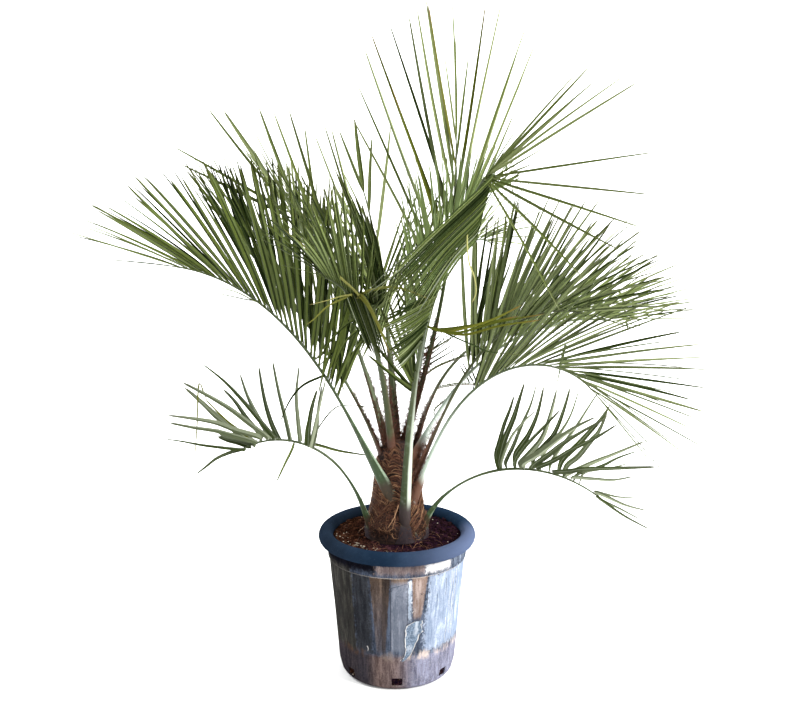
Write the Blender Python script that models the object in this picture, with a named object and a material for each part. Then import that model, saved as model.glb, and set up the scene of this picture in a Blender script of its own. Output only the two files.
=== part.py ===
"""Potted pindo palm: a young feather palm with a fibrous crown, in a 40 cm plastic nursery pot."""

import math
import random
from collections import namedtuple

import bmesh
import bpy
from mathutils import Vector
from mathutils.bvhtree import BVHTree

# Driving dimensions, in metres and degrees. The front of the plant faces -Y, and the floor is z = 0.

GAP = 0.0003
SEED = 7

# Pot
RIM_RADIUS = 0.200
ROLL_RADIUS = 0.0185
RIM_CENTRE_Z = 0.360
POT_WALL = 0.0035
BASE_RADIUS = 0.127
BODY = ((0.1435, 0.010), (0.1495, 0.034), (0.1590, 0.144), (0.1730, 0.304))
COLLAR_RADIUS = 0.1765
COLLAR_Z = 0.310
SIDES = 32
DRAIN_HOLES = 7
DRAIN_WIDTH = 0.026
DRAIN_HEIGHT = 0.022
DRAIN_Z = 0.025

# Soil
SOIL_Z = 0.358
SOIL_WAVE = 0.003
SOIL_RINGS = (0.140, 0.116)

# Crown: the short trunk with its leaf boots, as radius at height above the floor
CROWN = (
    (0.070, 0.290), (0.080, 0.315), (0.082, 0.372), (0.077, 0.398), (0.065, 0.422), (0.059, 0.455),
    (0.056, 0.500), (0.051, 0.550), (0.043, 0.582), (0.028, 0.602),
)
CROWN_PLAIN_BELOW = 0.385
# Old leaf boots that swell the crown: azimuth, height, swelling, spread in degrees, spread in height
BOOTS = (
    (240, 0.412, 0.011, 24, 0.026),
    (318, 0.425, 0.007, 26, 0.030),
    (178, 0.440, 0.003, 28, 0.034),
    (60, 0.425, 0.010, 32, 0.036),
    (118, 0.450, 0.009, 28, 0.034),
    (0, 0.450, 0.003, 26, 0.030),
)

# Fronds. Each one leaves the crown at foot, heads for its azimuth, and leans by lean + arch * u ** bend
# from the vertical as u runs from 0 at the foot to 1 at the tip of its rachis. sway turns the azimuth,
# petiole is the bare share of the length, sheath the width at the foot, and the pairs of values for
# sweep, lift and roll run from the first leaflet to the last, roll with most of its turn near the tip.
Frond = namedtuple(
    "Frond",
    "name tone foot azimuth sway lean arch bend length petiole sheath pairs leaflet sweep lift roll droop",
)
FRONDS = (
    Frond("frond_left_low", "dark", (-0.074, -0.027, 0.402), 185, 7, 16, 100, 1.46,
          0.422, 0.37, 0.026, 12, 0.27, (55, 18), (42, 44), (0, 0), 0.04),
    Frond("frond_right_low", "mid", (0.075, -0.027, 0.402), 0, -6, 15, 112, 0.72,
          0.500, 0.40, 0.026, 12, 0.27, (66, 21), (60, 30), (-6, -6), 0.05),
    Frond("frond_left_big", "dark", (-0.025, -0.055, 0.491), 190, 11, 25, 55, 2.48,
          0.787, 0.34, 0.030, 18, 0.41, (52, 16), (64, 42), (4, 4), 0.04),
    Frond("frond_left_mid", "dark", (-0.038, -0.004, 0.563), 185, -50, 18, 38, 0.90,
          0.700, 0.30, 0.022, 17, 0.42, (50, 16), (62, 48), (0, 0), 0.05),
    Frond("frond_left_back", "light", (-0.030, 0.026, 0.590), 152, -35, 14, 48, 1.20,
          0.740, 0.30, 0.020, 17, 0.42, (48, 16), (55, 45), (0, 0), 0.06),
    Frond("frond_centre_left", "dark", (-0.014, -0.026, 0.590), -110, -5, 12, 62, 1.50,
          0.620, 0.45, 0.018, 16, 0.38, (40, 14), (62, 50), (0, 0), 0.04),
    Frond("frond_centre_back", "light", (-0.002, 0.044, 0.575), 114, -14, 8, 60, 1.80,
          0.760, 0.38, 0.020, 17, 0.42, (50, 16), (50, 45), (0, 0), 0.08),
    Frond("frond_upright_back", "light", (0.020, 0.020, 0.600), 14, 76, 18, -2, 1.00,
          0.770, 0.47, 0.018, 10, 0.58, (44, 6), (30, 10), (-10, -10), 0.02),
    Frond("frond_centre_front", "mid", (0.022, -0.073, 0.424), -83, 13, 5, 50, 0.80,
          1.045, 0.44, 0.040, 18, 0.37, (30, 66), (86, 56), (8, -130), 0.03),
    Frond("frond_back_right_upper", "mid", (0.028, 0.036, 0.588), 60, -9, 16, 100, 3.06,
          0.700, 0.38, 0.018, 15, 0.34, (50, 20), (60, 45), (0, 0), 0.04),
    Frond("frond_right_back", "pale", (0.046, 0.020, 0.575), 66, -32, 28, 72, 0.90,
          0.620, 0.28, 0.018, 15, 0.36, (50, 18), (60, 45), (0, 0), 0.05),
    Frond("frond_right_pale", "pale", (0.044, -0.008, 0.566), 32, -26, 30, 70, 1.31,
          0.680, 0.27, 0.020, 17, 0.42, (48, 20), (62, 45), (0, 0), 0.05),
    Frond("frond_right_big", "mid", (0.049, -0.040, 0.478), 2, -30, 18, 118, 2.00,
          0.630, 0.30, 0.026, 17, 0.45, (40, 28), (66, 47), (3, 6), 0.03),
    Frond("frond_right_brown", "dark", (0.054, -0.026, 0.536), -8, -12, 22, 80, 2.60,
          0.620, 0.32, 0.020, 15, 0.40, (48, 22), (60, 45), (0, 0), 0.05),
)
BURIED = 0.030
PETIOLE_RINGS = 5
BLADE_START_WIDTH = 0.0115
PETIOLE_TAPER = 1.3
TIP_WIDTH = 0.0042
FOOT_DEPTH = 0.0105
TIP_DEPTH = 0.0040
LEAFLET_WIDTH = 0.0170
LEAFLET_RIDGE = 0.0021
CLEARANCE = 0.0022
SHORTEST = 0.35
TIP_SHARE = 0.5
ROLL_EASE = 4

# Colours as linear red, green and blue, with roughness
FINISHES = {
    "pot": ((0.100, 0.125, 0.175), 0.42),
    "soil": ((0.045, 0.022, 0.016), 0.95),
    "crown": ((0.110, 0.050, 0.026), 0.90),
    "dark": ((0.040, 0.085, 0.022), 0.45),
    "mid": ((0.075, 0.150, 0.045), 0.45),
    "light": ((0.190, 0.300, 0.095), 0.50),
    "pale": ((0.210, 0.310, 0.200), 0.50),
}


# Scene and materials

def clear_scene():
    for obj in list(bpy.data.objects):
        bpy.data.objects.remove(obj, do_unlink=True)


def material(name, finish):
    colour, roughness = FINISHES[finish]
    made = bpy.data.materials.new(name)
    made.use_nodes = True
    shader = made.node_tree.nodes["Principled BSDF"]
    shader.inputs["Base Color"].default_value = (*colour, 1.0)
    shader.inputs["Roughness"].default_value = roughness
    shader.inputs["Metallic"].default_value = 0.0
    made.diffuse_color = (*colour, 1.0)
    return made


def add_object(name, bm, finish=None):
    """Link the mesh as one object, with its faces turned outwards."""
    bmesh.ops.recalc_face_normals(bm, faces=bm.faces)
    if bm.calc_volume(signed=True) < 0:
        bmesh.ops.reverse_faces(bm, faces=bm.faces)
    mesh = bpy.data.meshes.new(name)
    bm.to_mesh(mesh)
    bm.free()
    obj = bpy.data.objects.new(name, mesh)
    bpy.context.scene.collection.objects.link(obj)
    if finish:
        mesh.materials.append(material(name, finish))
    return obj


def cut(obj, name, bm):
    """Cut a helper mesh out of an object."""
    cutter = add_object(name, bm)
    cutter.hide_render = True
    cutter.display_type = "WIRE"
    boolean = obj.modifiers.new(name, "BOOLEAN")
    boolean.operation = "DIFFERENCE"
    boolean.solver = "EXACT"
    boolean.object = cutter


def lathe(profile, sides, shift=None):
    """Turn a closed profile of (radius, height) about Z. Its first and last points lie on the axis."""
    bm = bmesh.new()
    first = bm.verts.new((0, 0, profile[0][1]))
    last = bm.verts.new((0, 0, profile[-1][1]))
    rings = []
    for radius, height in profile[1:-1]:
        ring = []
        for i in range(sides):
            angle = math.tau * i / sides
            grow, rise = shift(angle, radius, height) if shift else (0, 0)
            reach = radius + grow
            ring.append(bm.verts.new((reach * math.cos(angle), reach * math.sin(angle), height + rise)))
        rings.append(ring)
    for i in range(sides):
        j = (i + 1) % sides
        bm.faces.new((first, rings[0][j], rings[0][i]))
        for low, high in zip(rings, rings[1:]):
            bm.faces.new((low[i], low[j], high[j], high[i]))
        bm.faces.new((last, rings[-1][i], rings[-1][j]))
    return bm


def box(low, high, azimuth):
    """A block given in its own radial, sideways and vertical lengths, turned to an azimuth."""
    bm = bmesh.new()
    bmesh.ops.create_cube(bm, size=1)
    turn = math.radians(azimuth)
    for vert in bm.verts:
        out, across, up = (lo + (co + 0.5) * (hi - lo) for lo, hi, co in zip(low, high, vert.co))
        vert.co = (
            out * math.cos(turn) - across * math.sin(turn),
            out * math.sin(turn) + across * math.cos(turn),
            up,
        )
    return bm


# Pot and soil

def arc(centre, radius, start, end, steps):
    """Points on a circle in the profile plane, from one angle to another."""
    angles = (math.radians(start + (end - start) * i / steps) for i in range(steps + 1))
    return [(centre[0] + radius * math.cos(a), centre[1] + radius * math.sin(a)) for a in angles]


def inner_wall(clearance):
    """The inside of the pot from its mouth to its floor, moved inwards by a clearance."""
    mouth = RIM_RADIUS - 2 * ROLL_RADIUS - clearance
    wall = [(mouth, RIM_CENTRE_Z), (COLLAR_RADIUS - POT_WALL - clearance, RIM_CENTRE_Z - ROLL_RADIUS)]
    wall += [(radius - POT_WALL - clearance, height) for radius, height in reversed(BODY[1:])]
    floor = POT_WALL + clearance
    return wall + [(BODY[0][0] - POT_WALL - clearance, BODY[0][1] + floor), (BASE_RADIUS, floor)]


def build_pot():
    centre = (RIM_RADIUS - ROLL_RADIUS, RIM_CENTRE_Z)
    outside = [(0, 0), (BASE_RADIUS, 0), *BODY, (COLLAR_RADIUS, COLLAR_Z)]
    groove = arc(centre, ROLL_RADIUS - POT_WALL, 250, -30, 5)
    roll = arc(centre, ROLL_RADIUS, -38, 165, 8)
    floor = [(0, POT_WALL)]
    bm = lathe(outside + groove + roll + inner_wall(0) + floor, SIDES)
    pot = add_object("pot", bm, "pot")
    for i in range(DRAIN_HOLES):
        low = (BASE_RADIUS - 0.004, -DRAIN_WIDTH / 2, DRAIN_Z - DRAIN_HEIGHT / 2)
        high = (BODY[1][0] + 0.02, DRAIN_WIDTH / 2, DRAIN_Z + DRAIN_HEIGHT / 2)
        cut(pot, f"drain_cutter_{i}", box(low, high, 270 + 360 * i / DRAIN_HOLES))
    return pot


def soil_shift(angle, radius, height):
    """Low waves on the soil's surface, none at its two edges."""
    if height < SOIL_Z - 1e-6:
        return 0, 0
    across = (radius - CROWN[2][0]) / (RIM_RADIUS - 2 * ROLL_RADIUS - CROWN[2][0])
    fade = max(0, math.sin(math.pi * min(1, max(0, across))))
    return 0, SOIL_WAVE * fade * (math.sin(3 * angle + 1) + math.sin(5 * angle + radius * 90)) / 2


def crown_sink(clearance):
    """The part of the crown under the soil, as radius and height from its bottom up, with a clearance."""
    return [(radius + clearance, height - clearance * (i == 0)) for i, (radius, height) in enumerate(CROWN[:3])]


def build_soil():
    wall = list(reversed(inner_wall(GAP)[1:]))
    top = [(RIM_RADIUS - 2 * ROLL_RADIUS - GAP - 0.001, SOIL_Z)]
    top += [(radius, SOIL_Z) for radius in SOIL_RINGS]
    hole = [(CROWN[2][0] + GAP, SOIL_Z)] + list(reversed(crown_sink(GAP)[:2]))
    profile = [(0, wall[0][1])] + wall + top + hole + [(0, hole[-1][1])]
    return add_object("soil", lathe(profile, SIDES, soil_shift), "soil")


# Crown

def boot_swelling(angle, height):
    """How far the old leaf boots push the crown's surface outwards."""
    if height < CROWN_PLAIN_BELOW:
        return 0
    swelling = 0
    for azimuth, level, amount, spread, rise in BOOTS:
        turn = (math.degrees(angle) - azimuth + 180) % 360 - 180
        swelling += amount * math.exp(-((turn / spread) ** 2) - ((height - level) / rise) ** 2)
    return swelling


def crown_shift(angle, radius, height):
    return boot_swelling(angle, height), 0


def build_crown():
    profile = [(0, CROWN[0][1]), *CROWN, (0, CROWN[-1][1] + 0.008)]
    return add_object("crown", lathe(profile, SIDES, crown_shift), "crown")


# Frond curve

def angles_at(frond, u):
    u = max(u, 0)
    tilt = math.radians(frond.lean + frond.arch * u ** frond.bend)
    azimuth = math.radians(frond.azimuth + frond.sway * u)
    return tilt, azimuth


def heading(frond, u):
    tilt, azimuth = angles_at(frond, u)
    return Vector((math.sin(tilt) * math.cos(azimuth), math.sin(tilt) * math.sin(azimuth), math.cos(tilt)))


def spine_point(frond, u, steps=40):
    """The rachis's centre at u. Below the foot it runs on straight into the crown."""
    point = Vector(frond.foot)
    if u <= 0:
        return point + heading(frond, 0) * u * frond.length
    for i in range(steps):
        point += heading(frond, u * (i + 0.5) / steps) * (u * frond.length / steps)
    return point


def blade_share(frond, u):
    """0 at the first leaflet and 1 at the tip."""
    return min(1, max(0, (u - frond.petiole) / (1 - frond.petiole)))


def axes(frond, u):
    """Unit vectors along the rachis, to its side and to its upper face."""
    azimuth = angles_at(frond, u)[1]
    ahead = heading(frond, u)
    side = Vector((-math.sin(azimuth), math.cos(azimuth), 0))
    upper = ahead.cross(side)
    roll = math.radians(between(frond.roll, blade_share(frond, u) ** ROLL_EASE))
    rolled = side * math.cos(roll) + upper * math.sin(roll)
    return ahead, rolled, upper * math.cos(roll) - side * math.sin(roll)


def section_size(frond, u):
    """Width and depth of the petiole or rachis."""
    if u < frond.petiole:
        left = (1 - max(u, 0) / frond.petiole) ** PETIOLE_TAPER
        width = BLADE_START_WIDTH + (frond.sheath - BLADE_START_WIDTH) * left
    else:
        width = BLADE_START_WIDTH + (TIP_WIDTH - BLADE_START_WIDTH) * blade_share(frond, u)
    return width, FOOT_DEPTH + (TIP_DEPTH - FOOT_DEPTH) * max(u, 0)


def section(frond, u, grow=0):
    """Corners of the rachis's cross-section: lower left, lower right, upper right, upper left."""
    ahead, side, upper = axes(frond, u)
    width, depth = section_size(frond, u)
    across, over = side * (width / 2 + grow), upper * (depth / 2 + grow)
    centre = spine_point(frond, u)
    return [centre - across - over, centre + across - over, centre + across + over, centre - across + over]


def ring_places(frond):
    """Where the rachis has rings: the buried end, along the petiole, then at each leaflet's two ends."""
    places = [-BURIED / frond.length]
    places += [frond.petiole * i / PETIOLE_RINGS for i in range(PETIOLE_RINGS)]
    count = 2 * frond.pairs
    return places + [frond.petiole + (1 - frond.petiole) * i / count for i in range(count + 1)]


# Leaflets

def leaflet_length(frond, share):
    """Leaflets are longest at the middle of the blade."""
    if share > 0.9:
        return 0.62 * frond.leaflet
    return frond.leaflet * (0.62 + 0.38 * math.sin(math.pi * min(1, share / 0.9) ** 0.8))


def between(pair, share):
    return pair[0] + (pair[1] - pair[0]) * share


def leaflet_direction(frond, u, side, turn):
    """Out from the rachis by sweep and up by lift, with a turn of each in degrees."""
    share = blade_share(frond, u)
    ahead, across, upper = axes(frond, u)
    sweep = math.radians(between(frond.sweep, share ** 0.8) + turn[0])
    lift = math.radians(between(frond.lift, share) + turn[1])
    out = across * side * math.cos(lift) + upper * math.sin(lift)
    return ahead * math.cos(sweep) + out * math.sin(sweep)


def blade_point(root, direction, length, droop, along):
    """A point on the leaflet's midrib, which bends down by its own weight."""
    sag = droop * along * along * math.hypot(direction.x, direction.y)
    return root + (direction * along - Vector((0, 0, sag))) * length


def blade_section(root, direction, ahead, hand, length, droop, along, scale, grow=0):
    """Back edge, lower ridge, front edge and upper ridge of a leaflet's cross-section.

    hand is 1 on the rachis's left side and -1 on its right, where its upper face lies the other way.
    """
    centre = blade_point(root, direction, length, droop, along)
    over = blade_point(root, direction, length, droop, along + 0.02) - centre
    front = (ahead - over * (ahead.dot(over) / over.length_squared)).normalized()
    ridge = over.normalized().cross(front) * hand
    across = front * (LEAFLET_WIDTH * scale / 2 + grow)
    thick = ridge * (LEAFLET_RIDGE / 2 + grow)
    return [centre - across, centre - thick, centre + across, centre + thick]


BLADE_STATIONS = ((0.10, 0.72), (0.50, 1.0))
WHOLE_STATIONS = ((0.03, 0.7), (0.50, 1.0))


def blade_rings(root, direction, ahead, hand, length, droop, grow=0, stations=BLADE_STATIONS):
    rings = [
        blade_section(root, direction, ahead, hand, length, droop, along, scale, grow)
        for along, scale in stations
    ]
    return rings, blade_point(root, direction, length, droop, 1)


def blade_triangles(rings, tip_index):
    """Triangles of a blade whose diagonals run from each ridge to the next ring's edge."""
    made = []
    for low, high in zip(rings, rings[1:]):
        for i in range(4):
            j = (i + 1) % 4
            if i % 2:
                made += [(low[i], low[j], high[j]), (low[i], high[j], high[i])]
            else:
                made += [(low[i], low[j], high[i]), (low[j], high[j], high[i])]
    made += [(rings[-1][i], rings[-1][(i + 1) % 4], tip_index) for i in range(4)]
    return made


def tree_of(points, triangles):
    return BVHTree.FromPolygons([tuple(p) for p in points], triangles, all_triangles=True)


def bounds_of(points):
    low = [min(p[k] for p in points) for k in range(3)]
    return low, [max(p[k] for p in points) for k in range(3)]


def apart(first, second):
    return any(first[1][k] < second[0][k] or second[1][k] < first[0][k] for k in range(3))


class Thicket:
    """The solids already placed, which a new leaflet stays clear of."""

    def __init__(self):
        self.solids = []

    def add(self, owner, points, triangles):
        self.solids.append((owner, bounds_of(points), tree_of(points, triangles)))

    def is_free(self, owner, whole, outer):
        """True where no other frond meets the whole blade and nothing of its own frond the outer part."""
        shapes = [(bounds_of(points), tree_of(points, triangles)) for points, triangles in (whole, outer)]
        for holder, placed, other in self.solids:
            bounds, tree = shapes[holder == owner]
            if not apart(bounds, placed) and tree.overlap(other):
                return False
        return True


def probe(root, direction, ahead, hand, length, droop, grow, stations=WHOLE_STATIONS):
    """A leaflet's blade as loose points and triangles, closed at its root."""
    rings, tip = blade_rings(root, direction, ahead, hand, length, droop, grow, stations)
    points = [p for ring in rings for p in ring] + [tip]
    triangles = blade_triangles([[0, 1, 2, 3], [4, 5, 6, 7]], 8)
    return points, triangles + [(0, 2, 1), (0, 3, 2)]


Leaflet = namedtuple("Leaflet", "ring side root direction ahead length")
TURNS = ((0, 0), (0, 6), (5, 0), (0, -6), (-5, 0), (6, 8), (-6, 8), (0, 13), (9, -8), (-9, -8), (0, -13), (12, 0))


def fit_leaflet(frond, ring, u, side, thicket, chance):
    """Swing a leaflet in small steps, then shorten it, until it is clear of all that is placed."""
    ahead, across, upper = axes(frond, u)
    root = spine_point(frond, u) + across * side * section_size(frond, u)[0] / 2
    wander = (chance.uniform(-3, 3), chance.uniform(-4, 4))
    full = leaflet_length(frond, blade_share(frond, u)) * chance.uniform(0.93, 1.04)
    length = full
    while length > SHORTEST * full:
        for turn in TURNS:
            direction = leaflet_direction(frond, u, side, (turn[0] + wander[0], turn[1] + wander[1]))
            shape = (root, direction, ahead, -side, length, frond.droop)
            outer = probe(*shape, CLEARANCE, BLADE_STATIONS)
            if thicket.is_free(frond.name, probe(*shape, CLEARANCE), outer):
                thicket.add(frond.name, *probe(*shape, 0))
                return Leaflet(ring, side, root, direction, ahead, length)
        length *= 0.86
    return None


def place_leaflets(frond, thicket):
    """One leaflet on each ring of the blade, on alternate sides, from the foot to the tip."""
    chance = random.Random(f"{SEED} {frond.name}")
    places = ring_places(frond)
    start = len(places) - 2 * frond.pairs - 1
    placed = []
    for i in range(2 * frond.pairs):
        ring = start + i
        u = (places[ring] + places[ring + 1]) / 2
        leaflet = fit_leaflet(frond, ring, u, 1 if i % 2 else -1, thicket, chance)
        if leaflet:
            placed.append(leaflet)
    return placed


# Frond solids

def rachis_rings(frond, grow=0):
    return [section(frond, u, grow) for u in ring_places(frond)]


def add_rachis_to(thicket, frond):
    """Register the bare petiole and rachis, so that no leaflet crosses them."""
    rings = rachis_rings(frond)
    points = [p for ring in rings for p in ring]
    triangles = []
    for k in range(len(rings) - 1):
        for i in range(4):
            a, b = 4 * k + i, 4 * k + (i + 1) % 4
            triangles += [(a, b, b + 4), (a, b + 4, a + 4)]
    thicket.add(frond.name, points, triangles)
    thicket.add(frond.name, *probe(*tip_shape(frond), 0))


def tip_shape(frond):
    """The last leaflet runs straight on from the end of the rachis."""
    ahead, across, upper = axes(frond, 1)
    return spine_point(frond, 1), ahead, across, 1, TIP_SHARE * frond.leaflet, frond.droop


def add_blade(bm, base, sections, tip):
    """Join a tapering blade to four corners of the rachis."""
    rings = [base] + [[bm.verts.new(p) for p in ring] for ring in sections]
    for corners in blade_triangles(rings, bm.verts.new(tip)):
        bm.faces.new(corners)


def side_corners(low, high, side):
    """The rachis's side face: back bottom, front bottom, front top, back top."""
    bottom, top = (1, 2) if side > 0 else (0, 3)
    return [low[bottom], high[bottom], high[top], low[top]]


def build_frond(frond, leaflets):
    bm = bmesh.new()
    rings = [[bm.verts.new(p) for p in ring] for ring in rachis_rings(frond)]
    with_leaflet = {(leaflet.ring, leaflet.side) for leaflet in leaflets}
    bm.faces.new(rings[0])
    for k, (low, high) in enumerate(zip(rings, rings[1:])):
        bm.faces.new((low[0], low[1], high[1], high[0]))
        bm.faces.new((low[3], low[2], high[2], high[3]))
        for side in (-1, 1):
            if (k, side) not in with_leaflet:
                bm.faces.new(side_corners(low, high, side))
    for leaflet in leaflets:
        base = side_corners(rings[leaflet.ring], rings[leaflet.ring + 1], leaflet.side)
        shape = (leaflet.root, leaflet.direction, leaflet.ahead, -leaflet.side, leaflet.length, frond.droop)
        add_blade(bm, base, *blade_rings(*shape))
    add_blade(bm, rings[-1], *blade_rings(*tip_shape(frond)))
    return add_object(frond.name, bm, frond.tone)


def cut_socket(crown, frond):
    """Open the crown where a petiole is sunk in it."""
    bm = bmesh.new()
    places = [-(BURIED + GAP) / frond.length] + ring_places(frond)[1:PETIOLE_RINGS + 1]
    rings = [[bm.verts.new(p) for p in section(frond, u, GAP)] for u in places]
    bm.faces.new(rings[0])
    bm.faces.new(rings[-1])
    for low, high in zip(rings, rings[1:]):
        for i in range(4):
            j = (i + 1) % 4
            bm.faces.new((low[i], low[j], high[j], high[i]))
    cut(crown, f"socket_{frond.name}", bm)


def add_mesh_to(thicket, obj):
    mesh = obj.data
    mesh.calc_loop_triangles()
    triangles = [tuple(t.vertices) for t in mesh.loop_triangles]
    thicket.add(obj.name, [v.co for v in mesh.vertices], triangles)


def build():
    clear_scene()
    thicket = Thicket()
    pot, soil, crown = build_pot(), build_soil(), build_crown()
    for obj in (pot, soil, crown):
        add_mesh_to(thicket, obj)
    for frond in FRONDS:
        cut_socket(crown, frond)
        add_rachis_to(thicket, frond)
    for frond in FRONDS:
        build_frond(frond, place_leaflets(frond, thicket))


build()
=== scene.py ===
"""Looks of the potted pindo palm: fine fronds, fibres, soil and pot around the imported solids."""

import math
import random
from collections import namedtuple
from itertools import product

import bmesh
import bpy
from mathutils import Matrix, Vector, noise


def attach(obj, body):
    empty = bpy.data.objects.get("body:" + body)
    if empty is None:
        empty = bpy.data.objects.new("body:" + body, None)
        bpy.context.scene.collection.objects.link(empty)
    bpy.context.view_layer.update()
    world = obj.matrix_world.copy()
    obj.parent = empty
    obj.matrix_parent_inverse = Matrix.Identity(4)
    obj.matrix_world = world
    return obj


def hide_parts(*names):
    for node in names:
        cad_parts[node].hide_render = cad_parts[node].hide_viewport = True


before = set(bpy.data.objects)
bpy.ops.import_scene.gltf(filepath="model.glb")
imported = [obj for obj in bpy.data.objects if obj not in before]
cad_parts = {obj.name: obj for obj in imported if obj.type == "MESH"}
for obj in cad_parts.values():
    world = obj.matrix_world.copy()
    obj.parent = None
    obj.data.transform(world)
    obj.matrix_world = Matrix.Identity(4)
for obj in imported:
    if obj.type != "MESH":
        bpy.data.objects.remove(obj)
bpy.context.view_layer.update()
SEED = 11
UP = Vector((0, 0, 1))

# The photograph's camera: its place, its downward tilt and its focal length for a frame 800 pixels wide
FRAME_WIDTH, FRAME_HEIGHT = 800, 703
SENSOR = 36.0
FOCAL_PIXELS = 1071.5
CAMERA = Vector((0.0077, -2.6, 1.343))
CAMERA_TILT = math.radians(11.1)

# Pot, soil and crown sizes, in metres, as in the solids
RIM_RADIUS = 0.2
ROLL_RADIUS = 0.0185
RIM_CENTRE_Z = 0.36
POT_WALL = 0.0035
BASE_RADIUS = 0.127
BODY = ((0.1435, 0.01), (0.1495, 0.034), (0.159, 0.144), (0.173, 0.304))
COLLAR_RADIUS = 0.1765
COLLAR_Z = 0.31
# Radii of the wall by height, and the steps of its rings
WALL_RADII = ((0, BASE_RADIUS), *((z, r) for r, z in BODY), (COLLAR_Z, COLLAR_RADIUS), (0.34, COLLAR_RADIUS))
WALL_STEP = 0.012
POT_SIDES = 144
DRAIN_HOLES = 7
DRAIN_WIDTH = 0.026
DRAIN_HEIGHT = 0.022
DRAIN_Z = 0.025
# The block that cuts a drain hole: its middle's radius and its length
CUTTER_RADIUS = 0.145
CUTTER_LENGTH = 0.045
SOIL_Z = 0.358
CROWN = (
    (0.07, 0.29), (0.08, 0.315), (0.082, 0.372), (0.077, 0.398), (0.065, 0.422), (0.059, 0.455),
    (0.056, 0.5), (0.051, 0.55), (0.043, 0.582), (0.028, 0.602),
)
CROWN_RADII = [(z, r) for r, z in CROWN]
# Old leaf boots: azimuth, height, swelling, spread in degrees, spread in height
BOOTS = (
    (240, 0.412, 0.011, 24, 0.026),
    (318, 0.425, 0.007, 26, 0.03),
    (178, 0.44, 0.003, 28, 0.034),
    (60, 0.425, 0.01, 32, 0.036),
    (118, 0.45, 0.009, 28, 0.034),
    (0, 0.45, 0.003, 26, 0.03),
)

# Fronds, as in the solids: each leaves the crown at foot and leans by lean + arch * u ** bend from the
# vertical as u runs from 0 at the foot to 1 at the tip of its rachis. Pairs of values for sweep, lift and
# roll run from the first leaflet to the last, roll with most of its turn near the tip.
Frond = namedtuple(
    "Frond",
    "name foot azimuth sway lean arch bend length petiole sheath leaflet sweep lift roll droop",
)
FRONDS = (
    Frond("frond_left_low", (-0.074, -0.027, 0.402), 185, 7, 16, 100, 1.46,
          0.422, 0.37, 0.026, 0.27, (55, 18), (42, 44), (0, 0), 0.04),
    Frond("frond_right_low", (0.075, -0.027, 0.402), 0, -6, 15, 112, 0.72,
          0.5, 0.4, 0.026, 0.27, (66, 21), (60, 30), (-6, -6), 0.05),
    Frond("frond_left_big", (-0.025, -0.055, 0.491), 190, 11, 25, 55, 2.48,
          0.787, 0.34, 0.03, 0.41, (52, 16), (64, 42), (4, 4), 0.04),
    Frond("frond_left_mid", (-0.038, -0.004, 0.563), 185, -50, 18, 38, 0.9,
          0.7, 0.3, 0.022, 0.42, (50, 16), (62, 48), (0, 0), 0.05),
    Frond("frond_left_back", (-0.03, 0.026, 0.59), 152, -35, 14, 48, 1.2,
          0.74, 0.3, 0.02, 0.42, (48, 16), (55, 45), (0, 0), 0.06),
    Frond("frond_centre_left", (-0.014, -0.026, 0.59), -110, -5, 12, 62, 1.5,
          0.62, 0.45, 0.018, 0.38, (40, 14), (62, 50), (0, 0), 0.04),
    Frond("frond_centre_back", (-0.002, 0.044, 0.575), 114, -14, 8, 60, 1.8,
          0.76, 0.38, 0.02, 0.42, (50, 16), (50, 45), (0, 0), 0.08),
    Frond("frond_upright_back", (0.02, 0.02, 0.6), 14, 76, 18, -2, 1.0,
          0.77, 0.47, 0.018, 0.58, (44, 6), (30, 10), (-10, -10), 0.02),
    Frond("frond_centre_front", (0.022, -0.073, 0.424), -83, 13, 5, 50, 0.8,
          1.045, 0.44, 0.04, 0.37, (30, 66), (86, 56), (8, -130), 0.03),
    Frond("frond_back_right_upper", (0.028, 0.036, 0.588), 60, -9, 16, 100, 3.06,
          0.7, 0.38, 0.018, 0.34, (50, 20), (60, 45), (0, 0), 0.04),
    Frond("frond_right_back", (0.046, 0.02, 0.575), 66, -32, 28, 72, 0.9,
          0.62, 0.28, 0.018, 0.36, (50, 18), (60, 45), (0, 0), 0.05),
    Frond("frond_right_pale", (0.044, -0.008, 0.566), 32, -26, 30, 70, 1.31,
          0.68, 0.27, 0.02, 0.42, (48, 20), (62, 45), (0, 0), 0.05),
    Frond("frond_right_big", (0.049, -0.04, 0.478), 2, -30, 18, 118, 2.0,
          0.63, 0.3, 0.026, 0.45, (40, 28), (66, 47), (3, 6), 0.03),
    Frond("frond_right_brown", (0.054, -0.026, 0.536), -8, -12, 22, 80, 2.6,
          0.62, 0.32, 0.02, 0.4, (48, 22), (60, 45), (0, 0), 0.05),
)
BY_NAME = {frond.name: frond for frond in FRONDS}
# How deep a petiole is sunk into the crown, then widths and depths of the petiole and rachis, in metres
BURIED = 0.03
BLADE_START_WIDTH = 0.0115
TIP_WIDTH = 0.0042
FOOT_DEPTH = 0.0105
TIP_DEPTH = 0.004
PETIOLE_TAPER = 1.3
ROLL_EASE = 4
# Leaflets as shares of the frond's longest: the first, those past a share of the blade, and the end one
SHORTEST = 0.62
LAST_LEAFLETS = 0.9
TIP_SHARE = 0.5

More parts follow.
